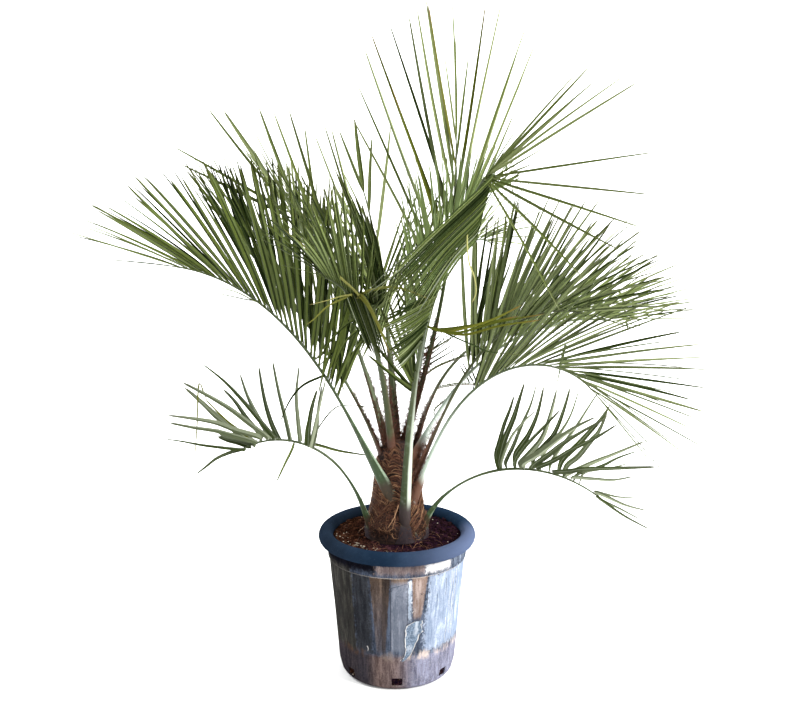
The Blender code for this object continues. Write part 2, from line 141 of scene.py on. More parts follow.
# How each frond looks: leaf and stem colours, leaflet spacing and width in metres, share of brown margin,
# and the material slot
Look = namedtuple("Look", "leaf stem spacing width margin slot")
LOOKS = {
    "frond_left_low": Look("grey", "green", 0.02, 0.0115, 0.1, "leaf_dark"),
    "frond_right_low": Look("grey", "green", 0.0185, 0.0115, 0.1, "leaf_mid"),
    "frond_left_big": Look("deep", "green", 0.0172, 0.0118, 0.15, "leaf_dark"),
    "frond_left_mid": Look("deep", "olive", 0.0155, 0.0108, 0.85, "leaf_dark"),
    "frond_left_back": Look("light", "olive", 0.0175, 0.0095, 0.8, "leaf_light"),
    "frond_centre_left": Look("dark", "olive", 0.0125, 0.01, 0.9, "leaf_dark"),
    "frond_centre_back": Look("light", "olive", 0.017, 0.0092, 0.85, "leaf_light"),
    "frond_upright_back": Look("light", "olive", 0.032, 0.0085, 0.9, "leaf_light"),
    "frond_centre_front": Look("fresh", "deep", 0.0112, 0.0086, 0.05, "leaf_mid"),
    "frond_back_right_upper": Look("mid", "pale", 0.0165, 0.009, 0.6, "leaf_mid"),
    "frond_right_back": Look("dark", "brown", 0.016, 0.0098, 0.9, "leaf_pale"),
    "frond_right_pale": Look("dark", "pale", 0.015, 0.0102, 0.1, "leaf_pale"),
    "frond_right_big": Look("mid", "pale", 0.0145, 0.0106, 0.45, "leaf_mid"),
    "frond_right_brown": Look("mid", "brown", 0.0155, 0.0102, 0.8, "leaf_dark"),
}

# Leaf colours as linear red, green and blue: upper face in two shades, lower face, tip
LEAVES = {
    "deep": ((0.003, 0.009, 0.0), (0.088, 0.115, 0.024), (0.115, 0.146, 0.048), (0.05, 0.05, 0.014)),
    "dark": ((0.003, 0.009, 0.0), (0.132, 0.168, 0.044), (0.18, 0.222, 0.09), (0.05, 0.05, 0.014)),
    "mid": ((0.008, 0.016, 0.0), (0.24, 0.28, 0.126), (0.112, 0.14, 0.058), (0.095, 0.095, 0.04)),
    "fresh": ((0.004, 0.012, 0.0), (0.235, 0.31, 0.105), (0.24, 0.315, 0.125), (0.13, 0.14, 0.055)),
    "light": ((0.085, 0.11, 0.024), (0.215, 0.25, 0.105), (0.235, 0.275, 0.14), (0.16, 0.165, 0.09)),
    "grey": ((0.03, 0.044, 0.01), (0.29, 0.322, 0.215), (0.34, 0.375, 0.27), (0.085, 0.09, 0.056)),
    "olive": ((0.06, 0.072, 0.007), (0.12, 0.126, 0.016), (0.15, 0.155, 0.04), (0.2, 0.1, 0.034)),
    "faded": ((0.12, 0.13, 0.022), (0.21, 0.205, 0.04), (0.26, 0.25, 0.08), (0.18, 0.13, 0.05)),
    "straw": ((0.22, 0.225, 0.06), (0.33, 0.32, 0.1), (0.38, 0.37, 0.15), (0.3, 0.23, 0.1)),
}
# How far the shades lean towards the first one, and how much of it covers the far half of the fold as painted
# shade
SHADE_POWER = {"mid": 2.1}
PAINTED_FOLD_SHADE = {"deep": 0.66, "dark": 0.66, "mid": 0.66, "grey": 0.66}
USUAL_POWER, USUAL_PAINTED_FOLD_SHADE = 1.6, 0.25
# Stem colours: the foot among the crown's fibres, the body, the wax bloom, which is laid on the flank that
# faces the key light as painted highlight, then how far up the foot's colour reaches as a share of the
# length, and how much of the lit side is without that bloom and painted highlight
STEMS = {
    "green": ((0.048, 0.034, 0.018), (0.03, 0.056, 0.016), (0.44, 0.56, 0.4), 0.05, 0.7),
    "deep": ((0.04, 0.028, 0.026), (0.026, 0.042, 0.01), (0.58, 0.64, 0.54), 0.06, 0.52),
    "olive": ((0.085, 0.034, 0.018), (0.044, 0.056, 0.018), (0.15, 0.175, 0.1), 0.085, 0.72),
    "pale": ((0.11, 0.048, 0.026), (0.33, 0.4, 0.33), (0.72, 0.79, 0.74), 0.1, 0.55),
    "brown": ((0.1, 0.038, 0.02), (0.062, 0.05, 0.026), (0.16, 0.15, 0.09), 0.16, 0.8),
}

# Veins across a leaflet as an angle in radians, the softness of the edge of the bloom and painted highlight
# on the lit flank, and a rachis's colour
VEIN_TURNS = 80
LIT_BLOOM_EDGE = 0.26
RACHIS_GREEN = (0.046, 0.062, 0.02)
# The soil turns from orange to purple between these places on X
SOIL_TURN = (-0.12, 0.01)

# Dirt, wear and painted light on the pot's wall: azimuth of the middle and half width in degrees and height
# at the top, the same at the bottom, raggedness, light and dark colour, share at the bottom as a multiple of
# the share at the top, and that share. Azimuth is 0 at the front and grows to the right.
# The dark rows on the left (-76, -31 and the collar's -50) are dirt made darker as painted shade, the strip
# at -8.6 is brown dirt made darker as painted shadow along the brown patch's edge, and the bright rows on the
# right (59 and the collar's 36 and 62) are pale film made lighter as painted highlight
DIRT_AND_LIGHT_PATCHES = (
    ((-76, 37, 0.4), (-76, 36, -0.01), 3.0, (0.052, 0.049, 0.04), (0.014, 0.013, 0.012), 1.0, 0.95),
    ((-31, 8.5, 0.31), (-31, 8.5, 0.09), 3.5, (0.045, 0.047, 0.053), (0.011, 0.012, 0.015), 1.0, 0.95),
    ((-14, 8.7, 0.309), (-14.8, 3.8, 0.095), 0.7, (0.145, 0.098, 0.068), (0.04, 0.027, 0.02), 0.4, 0.96),
    ((-8.6, 3.2, 0.309), (-12, 1.8, 0.1), 0.7, (0.058, 0.042, 0.034), (0.018, 0.014, 0.013), 0.55, 0.85),
    ((2, 7.2, 0.3), (2, 7.0, 0.1), 0.7, (0.215, 0.23, 0.28), (0.084, 0.098, 0.128), 1.0, 0.95),
    ((2, 7.2, 0.309), (2, 7.2, 0.286), 1.8, (0.24, 0.165, 0.115), (0.09, 0.06, 0.044), 1.0, 0.85),
    ((10.8, 1.8, 0.3), (10.8, 1.5, 0.185), 2.2, (0.8, 0.84, 0.94), (0.3, 0.36, 0.45), 0.6, 0.95),
    ((19.3, 6.8, 0.309), (17.6, 3.4, 0.19), 1.2, (0.42, 0.335, 0.3), (0.16, 0.1, 0.072), 0.7, 0.94),
    ((112, 24, 0.309), (108, 28, 0.095), 6.0, (0.23, 0.265, 0.33), (0.08, 0.1, 0.145), 1.0, 0.85),
    ((59, 32, 0.309), (59, 35, 0.095), 4.5, (0.47, 0.525, 0.63), (0.16, 0.21, 0.3), 1.0, 0.92),
    ((-50, 34, 0.36), (-50, 34, 0.31), 3.0, (0.007, 0.007, 0.012), (0.003, 0.003, 0.005), 1.0, 1.0),
    ((3, 20, 0.36), (3, 20, 0.31), 3.0, (0.33, 0.255, 0.235), (0.105, 0.08, 0.082), 1.0, 0.92),
    ((36, 12.5, 0.36), (36, 12.5, 0.31), 2.5, (0.92, 0.91, 0.92), (0.68, 0.66, 0.67), 1.0, 0.96),
    ((62, 13, 0.36), (62, 13, 0.31), 4.0, (0.33, 0.39, 0.5), (0.03, 0.036, 0.056), 1.0, 0.85),
    ((150, 16, 0.304), (148, 9, 0.1), 2.0, (0.13, 0.09, 0.064), (0.04, 0.026, 0.02), 0.4, 0.9),
    ((-140, 12, 0.302), (-142, 6, 0.08), 2.0, (0.12, 0.086, 0.062), (0.038, 0.026, 0.02), 0.5, 0.9),
    ((113, 14, 0.24), (110, 20, 0.09), 3.5, (0.15, 0.175, 0.225), (0.05, 0.064, 0.094), 0.8, 0.85),
    ((-168, 22, 0.36), (-168, 22, 0.31), 3.0, (0.16, 0.13, 0.115), (0.056, 0.042, 0.04), 1.0, 0.85),
)
# Dark seams between the dried films on the wall: azimuth, lowest and highest place
SEAMS = ((-22.8, 0.11, 0.308), (-5.2, 0.105, 0.308), (9.1, 0.15, 0.304), (26.2, 0.215, 0.306))
# Heights on the pot: the pale line painted as highlight along the step under the collar, the grime's ragged
# top, the crust along it and the foot of the rim's clean plastic
COLLAR_STEP_HIGHLIGHT = (0.3075, 0.309, 0.31, 0.3115)
GRIME_TOP = (0.104, 0.088)
CRUST_LINE = (0.08, 0.092, 0.1, 0.112)
RIM_FOOT = (0.337, 0.343)
# Sides of the pot in degrees from the front: where edges and chips get painted highlight, where the grime,
# its flecks and crust do, where it is brown, and where the rim gets painted highlight and painted shade
LIT_SIDE = (-40, 5, 110, 178)
SUNNY_SIDE = (-30, 30, 110, 178)
BROWN_SIDE = (-32, -16, -2, 20)
RIM_GLEAM = (-10, 70, 78, 108)
RIM_SHADE = (-10, -55)


# Camera

def seen_at(x, y, depth):
    """The point behind a pixel of the photograph, in the plane Y = depth."""
    right, up = (x - FRAME_WIDTH / 2) / FOCAL_PIXELS, (FRAME_HEIGHT / 2 - y) / FOCAL_PIXELS
    ray = Vector((
        right,
        math.cos(CAMERA_TILT) + up * math.sin(CAMERA_TILT),
        -math.sin(CAMERA_TILT) + up * math.cos(CAMERA_TILT),
    ))
    return CAMERA + ray * ((depth - CAMERA.y) / ray.y)


def pixel_of(point):
    """Where the photograph's camera sees a point."""
    away = point - CAMERA
    depth = away.y * math.cos(CAMERA_TILT) - away.z * math.sin(CAMERA_TILT)
    rise = away.y * math.sin(CAMERA_TILT) + away.z * math.cos(CAMERA_TILT)
    scale = FOCAL_PIXELS / depth
    return Vector((FRAME_WIDTH / 2 + scale * away.x, FRAME_HEIGHT / 2 - scale * rise))


def nearest_place(places, pixel):
    """The place that the camera sees nearest to a pixel."""
    return min(places, key=lambda place: (pixel_of(place) - Vector(pixel)).length)


def link(name, data):
    """A new object of the scene for a mesh, a light or a camera."""
    made = bpy.data.objects.new(name, data)
    bpy.context.scene.collection.objects.link(made)
    return made


def build_camera():
    data = bpy.data.cameras.new("camera")
    data.sensor_width = SENSOR
    data.lens = FOCAL_PIXELS * SENSOR / FRAME_WIDTH
    data.clip_end = 60
    camera = link("camera", data)
    camera.location = CAMERA
    camera.rotation_euler = (math.pi / 2 - CAMERA_TILT, 0, 0)
    bpy.context.scene.camera = camera


# Materials

class Paint:
    """A material's node tree, with short calls for the nodes used here."""

    def __init__(self, name, roughness=0.5, specular=0.5):
        self.made = bpy.data.materials.new(name)
        self.made.use_nodes = True
        self.tree = self.made.node_tree
        self.shader = self.tree.nodes["Principled BSDF"]
        self.shader.inputs["Roughness"].default_value = roughness
        self.shader.inputs["Specular IOR Level"].default_value = specular

    def put(self, socket, value):
        if isinstance(value, bpy.types.NodeSocket):
            self.tree.links.new(value, socket)
        elif isinstance(value, tuple) and len(value) == 3 and socket.type == "RGBA":
            socket.default_value = (*value, 1)
        else:
            socket.default_value = value

    def node(self, kind, values=(), **settings):
        made = self.tree.nodes.new("ShaderNode" + kind)
        for key, value in settings.items():
            setattr(made, key, value)
        for key, value in dict(values).items():
            self.put(made.inputs[key], value)
        return made

    def math(self, operation, first, second=0.0, third=0.0):
        return self.node("Math", {0: first, 1: second, 2: third}, operation=operation).outputs[0]

    def times(self, first, second):
        return self.math("MULTIPLY", first, second)

    def scaled(self, value, factor, offset):
        return self.math("MULTIPLY_ADD", value, factor, offset)

    def mix(self, share, first, second):
        return self.node("Mix", {0: share, 6: first, 7: second}, data_type="RGBA").outputs[2]

    def cover(self, colour, share, strength, over):
        """A colour under another one, which covers a share of it by a strength."""
        return self.mix(self.times(share, strength), colour, over)

    def step(self, value, low, high):
        """0 below low and 1 above high, smooth between. low may be the higher one."""
        values = {"Value": value, "From Min": low, "From Max": high}
        return self.node("MapRange", values, interpolation_type="SMOOTHSTEP").outputs[0]

    def band(self, value, limits):
        """0 outside the first and last limit and 1 between the middle ones, smooth between."""
        start, full, fading, end = limits
        return self.times(self.step(value, start, full), self.step(value, end, fading))

    def place(self, stretch=(1, 1, 1)):
        """Object coordinates, stretched."""
        coordinates = self.node("TexCoord").outputs["Object"]
        return self.node("Mapping", {"Vector": coordinates, "Scale": stretch}).outputs[0]

    def split(self, vector):
        return self.node("SeparateXYZ", {0: vector}).outputs

    def noise(self, vector, scale, detail=3.0, roughness=0.55, distortion=0.0):
        values = {"Vector": vector, "Scale": scale, "Detail": detail}
        values.update({"Roughness": roughness, "Distortion": distortion})
        return self.node("TexNoise", values).outputs[0]

    def streaks(self, across, along, counts, scale):
        """Long streaks by the numbers that a piece carries, as many across and along as the counts."""
        values = {0: self.times(across, counts[0]), 1: self.times(along, counts[1]), 2: 0.0}
        return self.noise(self.node("CombineXYZ", values).outputs[0], scale, 4)

    def data(self):
        """The four numbers that each point of a piece carries."""
        source = self.node("Attribute", attribute_name="data")
        parts = self.node("SeparateColor", {0: source.outputs["Color"]}).outputs
        return parts[0], parts[1], parts[2], source.outputs["Alpha"]

    def finish(self, colour, roughness=None, height=None, strength=0.3, distance=0.001):
        self.put(self.shader.inputs["Base Color"], colour)
        if roughness is not None:
            self.put(self.shader.inputs["Roughness"], roughness)
        if height is not None:
            values = {"Height": height, "Strength": strength, "Distance": distance}
            self.put(self.shader.inputs["Normal"], self.node("Bump", values).outputs[0])
        return self.made


def leaf_material(name):
    """Folded leaflet: two shades by leaflet, a paler lower face, a midrib, fine veins and a dry tip."""
    upper_a, upper_b, lower, tip = LEAVES[name]
    paint = Paint("leaf_" + name, specular=0.03)
    shade, along, across, under = paint.data()
    shade = paint.math("POWER", paint.step(shade, 0.05, 0.95), SHADE_POWER.get(name, USUAL_POWER))
    colour = paint.mix(shade, upper_a, upper_b)
    blotch = paint.noise(paint.place(), 45, 3)
    colour = paint.cover(colour, blotch, 0.1, lower)
    colour = paint.mix(under, colour, paint.mix(shade, lower, upper_b))
    vein = paint.scaled(paint.math("SINE", paint.times(across, VEIN_TURNS)), 0.5, 0.5)
    colour = paint.cover(colour, vein, 0.22, upper_a)
    rib = paint.step(paint.math("ABSOLUTE", paint.math("SUBTRACT", across, 0.5)), 0.1, 0.03)
    colour = paint.cover(colour, rib, 0.35, lower)
    colour = paint.cover(colour, paint.step(along, 0.8, 1.0), 0.7, tip)
    # The far half of the fold is darkened with the first shade as painted shade, as if it were turned from
    # the light
    folded = PAINTED_FOLD_SHADE.get(name, USUAL_PAINTED_FOLD_SHADE)
    colour = paint.cover(colour, paint.step(across, 0.5, 0.6), folded, upper_a)
    return paint.finish(colour, paint.scaled(blotch, 0.25, 0.32), vein, 0.25, 0.0004)


def stem_material(name):
    """Petiole and rachis: long streaks, wax bloom and painted highlight on the lit side, dull foot, plainer
    rachis.
    """
    foot, body, bloom, reach, shady = STEMS[name]
    paint = Paint("stem_" + name, specular=0.3)
    edge, along, across, sunny = paint.data()
    streaks = paint.streaks(across, along, (9, 3), 3)
    mottle = paint.noise(paint.place(), 55, 4)
    # Bloom where the surface faces the key light: real bloom colour laid there as painted highlight
    lit_bloom_mask = paint.step(paint.scaled(streaks, 0.4, sunny), shady, shady + LIT_BLOOM_EDGE)
    colour = paint.cover(body, lit_bloom_mask, 0.8, bloom)
    colour = paint.cover(colour, paint.step(mottle, 0.5, 0.75), 0.15, bloom)
    colour = paint.cover(colour, paint.step(along, 0.1, 0.45), 0.85, RACHIS_GREEN)
    worn = paint.math("ADD", paint.step(along, reach, reach * 0.3), edge)
    worn = paint.times(worn, paint.step(mottle, 0.12, 0.42))
    colour = paint.mix(paint.math("MINIMUM", worn, 1.0), colour, foot)
    return paint.finish(colour, paint.scaled(mottle, 0.3, 0.3), streaks, 0.3, 0.0008)


def sheath_material():
    """Dark purple-brown scales of old leaf bases, with long fibres showing through."""
    paint = Paint("sheath", 0.6, 0.3)
    along, across = paint.data()[1:3]
    threads = paint.streaks(across, along, (12, 2), 4)
    colour = paint.mix(paint.step(threads, 0.35, 0.7), (0.008, 0.006, 0.01), (0.04, 0.022, 0.024))
    green = paint.mix(paint.step(threads, 0.3, 0.7), (0.055, 0.06, 0.035), (0.12, 0.13, 0.08))
    colour = paint.mix(paint.step(along, 0.62, 1.0), colour, green)
    return paint.finish(colour, None, threads, 0.6, 0.0015)


def fibre_material():
    """Fibres from near black through rust to straw, by the shade that each carries."""
    paint = Paint("fibre", 0.75, 0.25)
    shade = paint.data()[0]
    colour = paint.mix(paint.step(shade, 0.15, 0.55), (0.01, 0.005, 0.004), (0.11, 0.04, 0.02))
    colour = paint.mix(paint.step(shade, 0.55, 0.95), colour, (0.4, 0.23, 0.12))
    grain = paint.noise(paint.place(), 400, 2)
    colour = paint.cover(colour, grain, 0.35, (0.06, 0.028, 0.016))
    return paint.finish(colour, None, grain, 0.3, 0.0005)


def core_material():
    """The dark matted ground between the crown's fibres."""
    paint = Paint("crown_core", 0.9, 0.2)
    mat = paint.noise(paint.place((1, 1, 3)), 90, 5, 0.65, 0.6)
    colour = paint.mix(paint.step(mat, 0.35, 0.7), (0.012, 0.007, 0.007), (0.05, 0.024, 0.016))
    return paint.finish(colour, None, mat, 0.8, 0.003)


def soil_material():
    """Dark red-brown mix, more orange on one side of the pot and purple on the other."""
    paint = Paint("soil", 1.0, 0.0)
    place = paint.place()
    side = paint.step(paint.split(place)[0], *SOIL_TURN)
    crumbs = paint.noise(place, 160, 6, 0.7)
    patches = paint.noise(place, 22, 3)
    dark = paint.mix(side, (0.005, 0.003, 0.002), (0.006, 0.003, 0.008))
    warm = paint.mix(side, (0.029, 0.01, 0.005), (0.026, 0.009, 0.02))
    colour = paint.mix(paint.step(crumbs, 0.4, 0.66), dark, warm)
    colour = paint.mix(paint.step(patches, 0.5, 0.66), colour, dark)
    return paint.finish(colour, None, crumbs, 1.0, 0.004)


def grain_material():
    """Crumbs, bark and pale grains of the potting mix, by the shade that each carries."""
    paint = Paint("grains", 1.0, 0.0)
    shade = paint.data()[0]
    side = paint.step(paint.split(paint.place())[0], *SOIL_TURN)
    warm = paint.mix(side, (0.033, 0.012, 0.006), (0.022, 0.008, 0.017))
    bark = paint.mix(side, (0.078, 0.033, 0.016), (0.05, 0.018, 0.026))
    colour = paint.mix(paint.step(shade, 0.0, 0.5), (0.007, 0.004, 0.004), warm)
    colour = paint.mix(paint.step(shade, 0.5, 0.8), colour, bark)
    colour = paint.mix(paint.step(shade, 0.85, 0.95), colour, (0.48, 0.43, 0.34))
    crumbs = paint.noise(paint.place(), 500, 3)
    colour = paint.cover(colour, crumbs, 0.5, (0.03, 0.013, 0.01))
    return paint.finish(colour, None, crumbs, 0.8, 0.001)


def pot_material():
    """Slate-blue plastic: clean, dull rim, streaked dirt films on the wall, painted highlight and painted
    shade.
    """
    paint = Paint("pot_plastic", specular=0.0)
    x, y, z = paint.split(paint.place())
    azimuth = paint.math("DEGREES", paint.math("ARCTAN2", x, paint.times(y, -1)))
    ragged = paint.math("SUBTRACT", paint.noise(paint.place(), 130, 6, 0.7), 0.5)
    streaks = paint.noise(paint.place((1, 1, 0.07)), 120, 6, 0.7)
    cloud = paint.noise(paint.place((1, 1, 0.6)), 14, 4, 0.6)
    specks = paint.noise(paint.place(), 420, 4, 0.75)
    grit = paint.step(paint.scaled(streaks, 0.55, paint.times(specks, 0.45)), 0.4, 0.6)
    blots = paint.step(paint.noise(paint.place((1, 1, 0.35)), 55, 5, 0.7), 0.42, 0.62)
    wall = paint.mix(grit, (0.022, 0.028, 0.042), (0.085, 0.105, 0.15))
    wall = paint.cover(wall, paint.step(cloud, 0.45, 0.7), 0.5, (0.022, 0.026, 0.038))
    for patch in DIRT_AND_LIGHT_PATCHES:
        wall = add_patch(paint, wall, patch, azimuth, z, ragged, grit, blots)
    for place, low, high in SEAMS:
        off = paint.math("ABSOLUTE", paint.scaled(ragged, 1.2, paint.math("SUBTRACT", azimuth, place)))
        seam = paint.times(paint.step(off, 0.65, 0.15), paint.step(z, low, low + 0.02))
        seam = paint.times(seam, paint.step(z, high + 0.002, high))
        wall = paint.cover(wall, seam, 0.75, (0.03, 0.032, 0.042))
    # lit and sunny mark the side towards the key light, where the colours below turn lighter as painted
    # highlight
    lit, sunny = paint.band(azimuth, LIT_SIDE), paint.band(azimuth, SUNNY_SIDE)
    # Pale line along the step under the collar: a painted highlight, paler still towards the key light
    step_highlight = paint.mix(lit, (0.1, 0.095, 0.09), (0.42, 0.37, 0.34))
    wall = paint.mix(paint.times(paint.band(z, COLLAR_STEP_HIGHLIGHT), paint.step(specks, 0.38, 0.55)), wall, step_highlight)
    dust = paint.scaled(ragged, 0.03, z)
    # Dust band near the foot: dust, with painted highlight towards the key light and painted shade away from
    # it
    grime_and_light = paint.mix(sunny, (0.038, 0.031, 0.036), (0.27, 0.275, 0.37))
    grime_and_light = paint.mix(grit, paint.mix(sunny, (0.011, 0.01, 0.014), (0.09, 0.09, 0.13)), grime_and_light)
    flecks_and_light = paint.mix(sunny, (0.09, 0.07, 0.062), (0.46, 0.42, 0.42))
    grime_and_light = paint.cover(grime_and_light, paint.step(specks, 0.56, 0.64), 0.7, flecks_and_light)
    brown = paint.mix(grit, (0.06, 0.036, 0.03), (0.19, 0.13, 0.108))
    grime_and_light = paint.cover(grime_and_light, paint.band(azimuth, BROWN_SIDE), 0.8, brown)
    wall = paint.cover(wall, paint.step(dust, *GRIME_TOP), 0.94, grime_and_light)
    crusted = paint.times(paint.times(paint.band(dust, CRUST_LINE), paint.step(cloud, 0.42, 0.58)), blots)
    # Crust along the dust band's top, with painted highlight towards the key light
    crust_and_light = paint.mix(sunny, (0.06, 0.036, 0.024), (0.6, 0.5, 0.44))
    wall = paint.cover(wall, crusted, 0.8, crust_and_light)
    pits = paint.times(paint.step(specks, 0.6, 0.66), paint.step(cloud, 0.42, 0.6))
    wall = paint.cover(wall, pits, 0.7, (0.04, 0.028, 0.022))
    # Pale chips, with painted highlight towards the key light
    chips_and_light = paint.mix(lit, (0.09, 0.085, 0.08), (0.42, 0.4, 0.4))
    wall = paint.cover(wall, paint.step(specks, 0.36, 0.31), 0.4, chips_and_light)
    rim = paint.mix(paint.step(cloud, 0.35, 0.7), (0.008, 0.018, 0.036), (0.014, 0.029, 0.056))
    # Painted highlight on the rim towards the key light, then painted shade on its left side away from it
    rim = paint.cover(rim, paint.band(azimuth, RIM_GLEAM), 0.85, (0.094, 0.122, 0.21))
    rim = paint.cover(rim, paint.step(azimuth, *RIM_SHADE), 0.55, (0.01, 0.013, 0.018))
    rim = paint.cover(rim, paint.step(specks, 0.62, 0.7), 0.3, (0.12, 0.15, 0.2))
    edge = paint.step(paint.scaled(ragged, 0.012, z), *RIM_FOOT)
    colour = paint.mix(edge, wall, rim)
    rough = paint.scaled(edge, -0.06, paint.scaled(specks, 0.35, 0.26))
    return paint.finish(colour, rough, paint.scaled(streaks, 0.6, specks), 0.3, 0.0012)


def add_patch(paint, wall, patch, azimuth, z, ragged, grit, blots):
    """The wall's colour with one patch on it, which has ragged edges: dirt and wear, some with painted light.
    """
    (centre, half, top), (low_centre, low_half, bottom), rough, light, dark, fade, most = patch
    down = paint.node("MapRange", {"Value": z, "From Min": top, "From Max": bottom}).outputs[0]
    off = paint.math("SUBTRACT", azimuth, paint.scaled(down, low_centre - centre, centre))
    left = paint.math("SUBTRACT", paint.scaled(down, low_half - half, half), paint.math("ABSOLUTE", off))
    soft = 0.25 + rough * 0.45
    inside = paint.step(paint.scaled(ragged, rough * 4, left), -soft, soft)
    height = paint.scaled(ragged, 0.006 + 0.01 * rough, z)
    ends = paint.band(height, (bottom, bottom + 0.02, top, top + 0.002))
    share = paint.times(paint.times(inside, ends), paint.scaled(down, most * (fade - 1), most))
    return paint.mix(share, wall, paint.mix(paint.times(grit, paint.scaled(blots, 0.55, 0.45)), dark, light))


def film_material():
    """Dried film that peels off the wall: slate inside a tear and whitish along its curled edges."""
    paint = Paint("dried_film", 0.5, 0.3)
    edge = paint.data()[0]
    spots = paint.noise(paint.place(), 260, 4)
    patches = paint.noise(paint.place((1, 1, 0.4)), 70, 4)
    colour = paint.mix(paint.step(spots, 0.35, 0.65), (0.045, 0.07, 0.11), (0.16, 0.215, 0.29))
    colour = paint.mix(paint.step(patches, 0.5, 0.66), colour, (0.34, 0.38, 0.44))
    curl = paint.times(paint.step(edge, 0.3, 0.8), paint.step(patches, 0.34, 0.46))
    colour = paint.mix(curl, colour, (0.62, 0.6, 0.58))
    return paint.finish(colour, None, spots, 0.4, 0.0008)


def crack_material():
    paint = Paint("crack", 0.8, 0.1)
    spots = paint.noise(paint.place(), 300, 3)
    return paint.finish(paint.mix(spots, (0.012, 0.014, 0.022), (0.04, 0.045, 0.065)))


def floor_material():
    paint = Paint("floor", 0.8, 0.2)
    grain = paint.noise(paint.place(), 3, 3)
    return paint.finish(paint.mix(grain, (0.86, 0.86, 0.86), (0.9, 0.9, 0.89)))


# Meshes

PLAIN = (0, 0, 0, 0)


class Shape:
    """A piece in the making. Each point carries four numbers for its material."""

    def __init__(self, name, materials):
        self.name = name
        self.materials = materials
        self.points = []
        self.numbers = []
        self.faces = []
        self.slots = []

    def add_points(self, places, numbers=None):
        start = len(self.points)
        self.points.extend(tuple(place) for place in places)
        self.numbers.extend(numbers or [PLAIN] * len(places))
        return list(range(start, len(self.points)))

    def add_face(self, corners, slot=0):
        self.faces.append(tuple(corners))
        self.slots.append(slot)

    def bridge(self, low, high, slot=0):
        """Faces between two rings of as many points."""
        for i in range(len(low)):
            j = (i + 1) % len(low)
            self.add_face((low[i], low[j], high[j], high[i]), slot)

    def fan(self, ring, end, slot=0):
        """Faces from a ring to one point."""
        for i in range(len(ring)):
            self.add_face((ring[i], ring[(i + 1) % len(ring)], end), slot)

    def loft(self, rings, numbers, slot=0, tip=None):
        """A closed body through rings of points, ending in a cap or at a tip."""
        made = [self.add_points(ring, values) for ring, values in zip(rings, numbers)]
        self.add_face(reversed(made[0]), slot)
        for low, high in zip(made, made[1:]):
            self.bridge(low, high, slot)
        if tip is None:
            self.add_face(made[-1], slot)
        else:
            self.fan(made[-1], self.add_points([tip], [numbers[-1][0]])[0], slot)

    def tube(self, path, radius, shade, slot=0, sides=4, taper=0.35):
        """A round fibre along a path, thinner towards its far end."""
        side = None
        rings = []
        last = len(path) - 1
        turns = [math.tau * i / sides for i in range(sides)]
        for k, place in enumerate(path):
            ahead = (path[min(k + 1, last)] - path[max(k - 1, 0)]).normalized()
            side = side or ahead.orthogonal()
            side = (side - ahead * side.dot(ahead)).normalized()
            over = ahead.cross(side)
            size = radius * (1 - (1 - taper) * k / last)
            rings.append([place + side * (size * math.cos(t)) + over * (size * math.sin(t)) for t in turns])
        numbers = [[(shade, k / last, 0.5, 0)] * sides for k in range(last + 1)]
        self.loft(rings, numbers, slot)

    def finish(self, angle=40, slot=None, replaced=()):
        mesh = bpy.data.meshes.new(self.name)
        mesh.from_pydata(self.points, [], self.faces)
        for made in self.materials:
            mesh.materials.append(made)
        mesh.polygons.foreach_set("material_index", self.slots)
        carried = mesh.attributes.new("data", "FLOAT_COLOR", "POINT")
        carried.data.foreach_set("color", [value for row in self.numbers for value in row])
        mesh.shade_smooth()
        mesh.set_sharp_from_angle(angle=math.radians(angle))
        mesh.update()
        made = link(self.name, mesh)
        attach(made, "root")
        if replaced:
            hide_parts(*replaced)
        return made


def smooth_path(points, steps):
    """Points along a smooth curve through the given ones."""
    ends = [points[0] * 2 - points[1], *points, points[-1] * 2 - points[-2]]
    made = []
    for a, b, c, d in zip(ends, ends[1:], ends[2:], ends[3:]):
        for k in range(steps):
            t = k / steps
            made.append((b * 2 + (c - a) * t + (a * 2 - b * 5 + c * 4 - d) * t * t
                         + (b * 3 - a - c * 3 + d) * t ** 3) / 2)
    return made + [points[-1]]


def clamp(value, low=0.0, high=1.0):
    return max(low, min(high, value))


def between(pair, share):
    return pair[0] + (pair[1] - pair[0]) * share


def spread(low, high, steps):
    """Even steps from low to high, both included."""
    return [low + (high - low) * k / steps for k in range(steps + 1)]


def polar(radius, angle):
    return radius * math.cos(angle), radius * math.sin(angle)


def profile_at(points, value):
    """Linear reading of (value, result) points in rising order."""
    for (low, first), (high, second) in zip(points, points[1:]):
        if value <= high:
            return first + (second - first) * clamp((value - low) / (high - low))
    return points[-1][1]


# Frond curve, as in the solids

def angles_at(frond, u):
    u = max(u, 0)
    tilt = math.radians(frond.lean + frond.arch * u ** frond.bend)
    return tilt, math.radians(frond.azimuth + frond.sway * u)


def heading(frond, u):
    tilt, azimuth = angles_at(frond, u)
    return Vector((*polar(math.sin(tilt), azimuth), math.cos(tilt)))


def spine_point(frond, u, steps=40):
    point = Vector(frond.foot)
    if u <= 0:
        return point + heading(frond, 0) * u * frond.length
    for i in range(steps):
        point += heading(frond, u * (i + 0.5) / steps) * (u * frond.length / steps)
    return point


def spine_places(frond, start, steps):
    """Places along the rachis, from the share of its length where they start."""
    return [spine_point(frond, u) for u in spread(start, 1, steps)]


def blade_share(frond, u):
    return clamp((u - frond.petiole) / (1 - frond.petiole))


def axes(frond, u):
    """Unit vectors along the rachis, to its side and to its upper face."""
    azimuth = angles_at(frond, u)[1]
    ahead = heading(frond, u)
    side = Vector((-math.sin(azimuth), math.cos(azimuth), 0))
    upper = ahead.cross(side)
    roll = math.radians(between(frond.roll, blade_share(frond, u) ** ROLL_EASE))
    cos, sin = math.cos(roll), math.sin(roll)
    return ahead, side * cos + upper * sin, upper * cos - side * sin


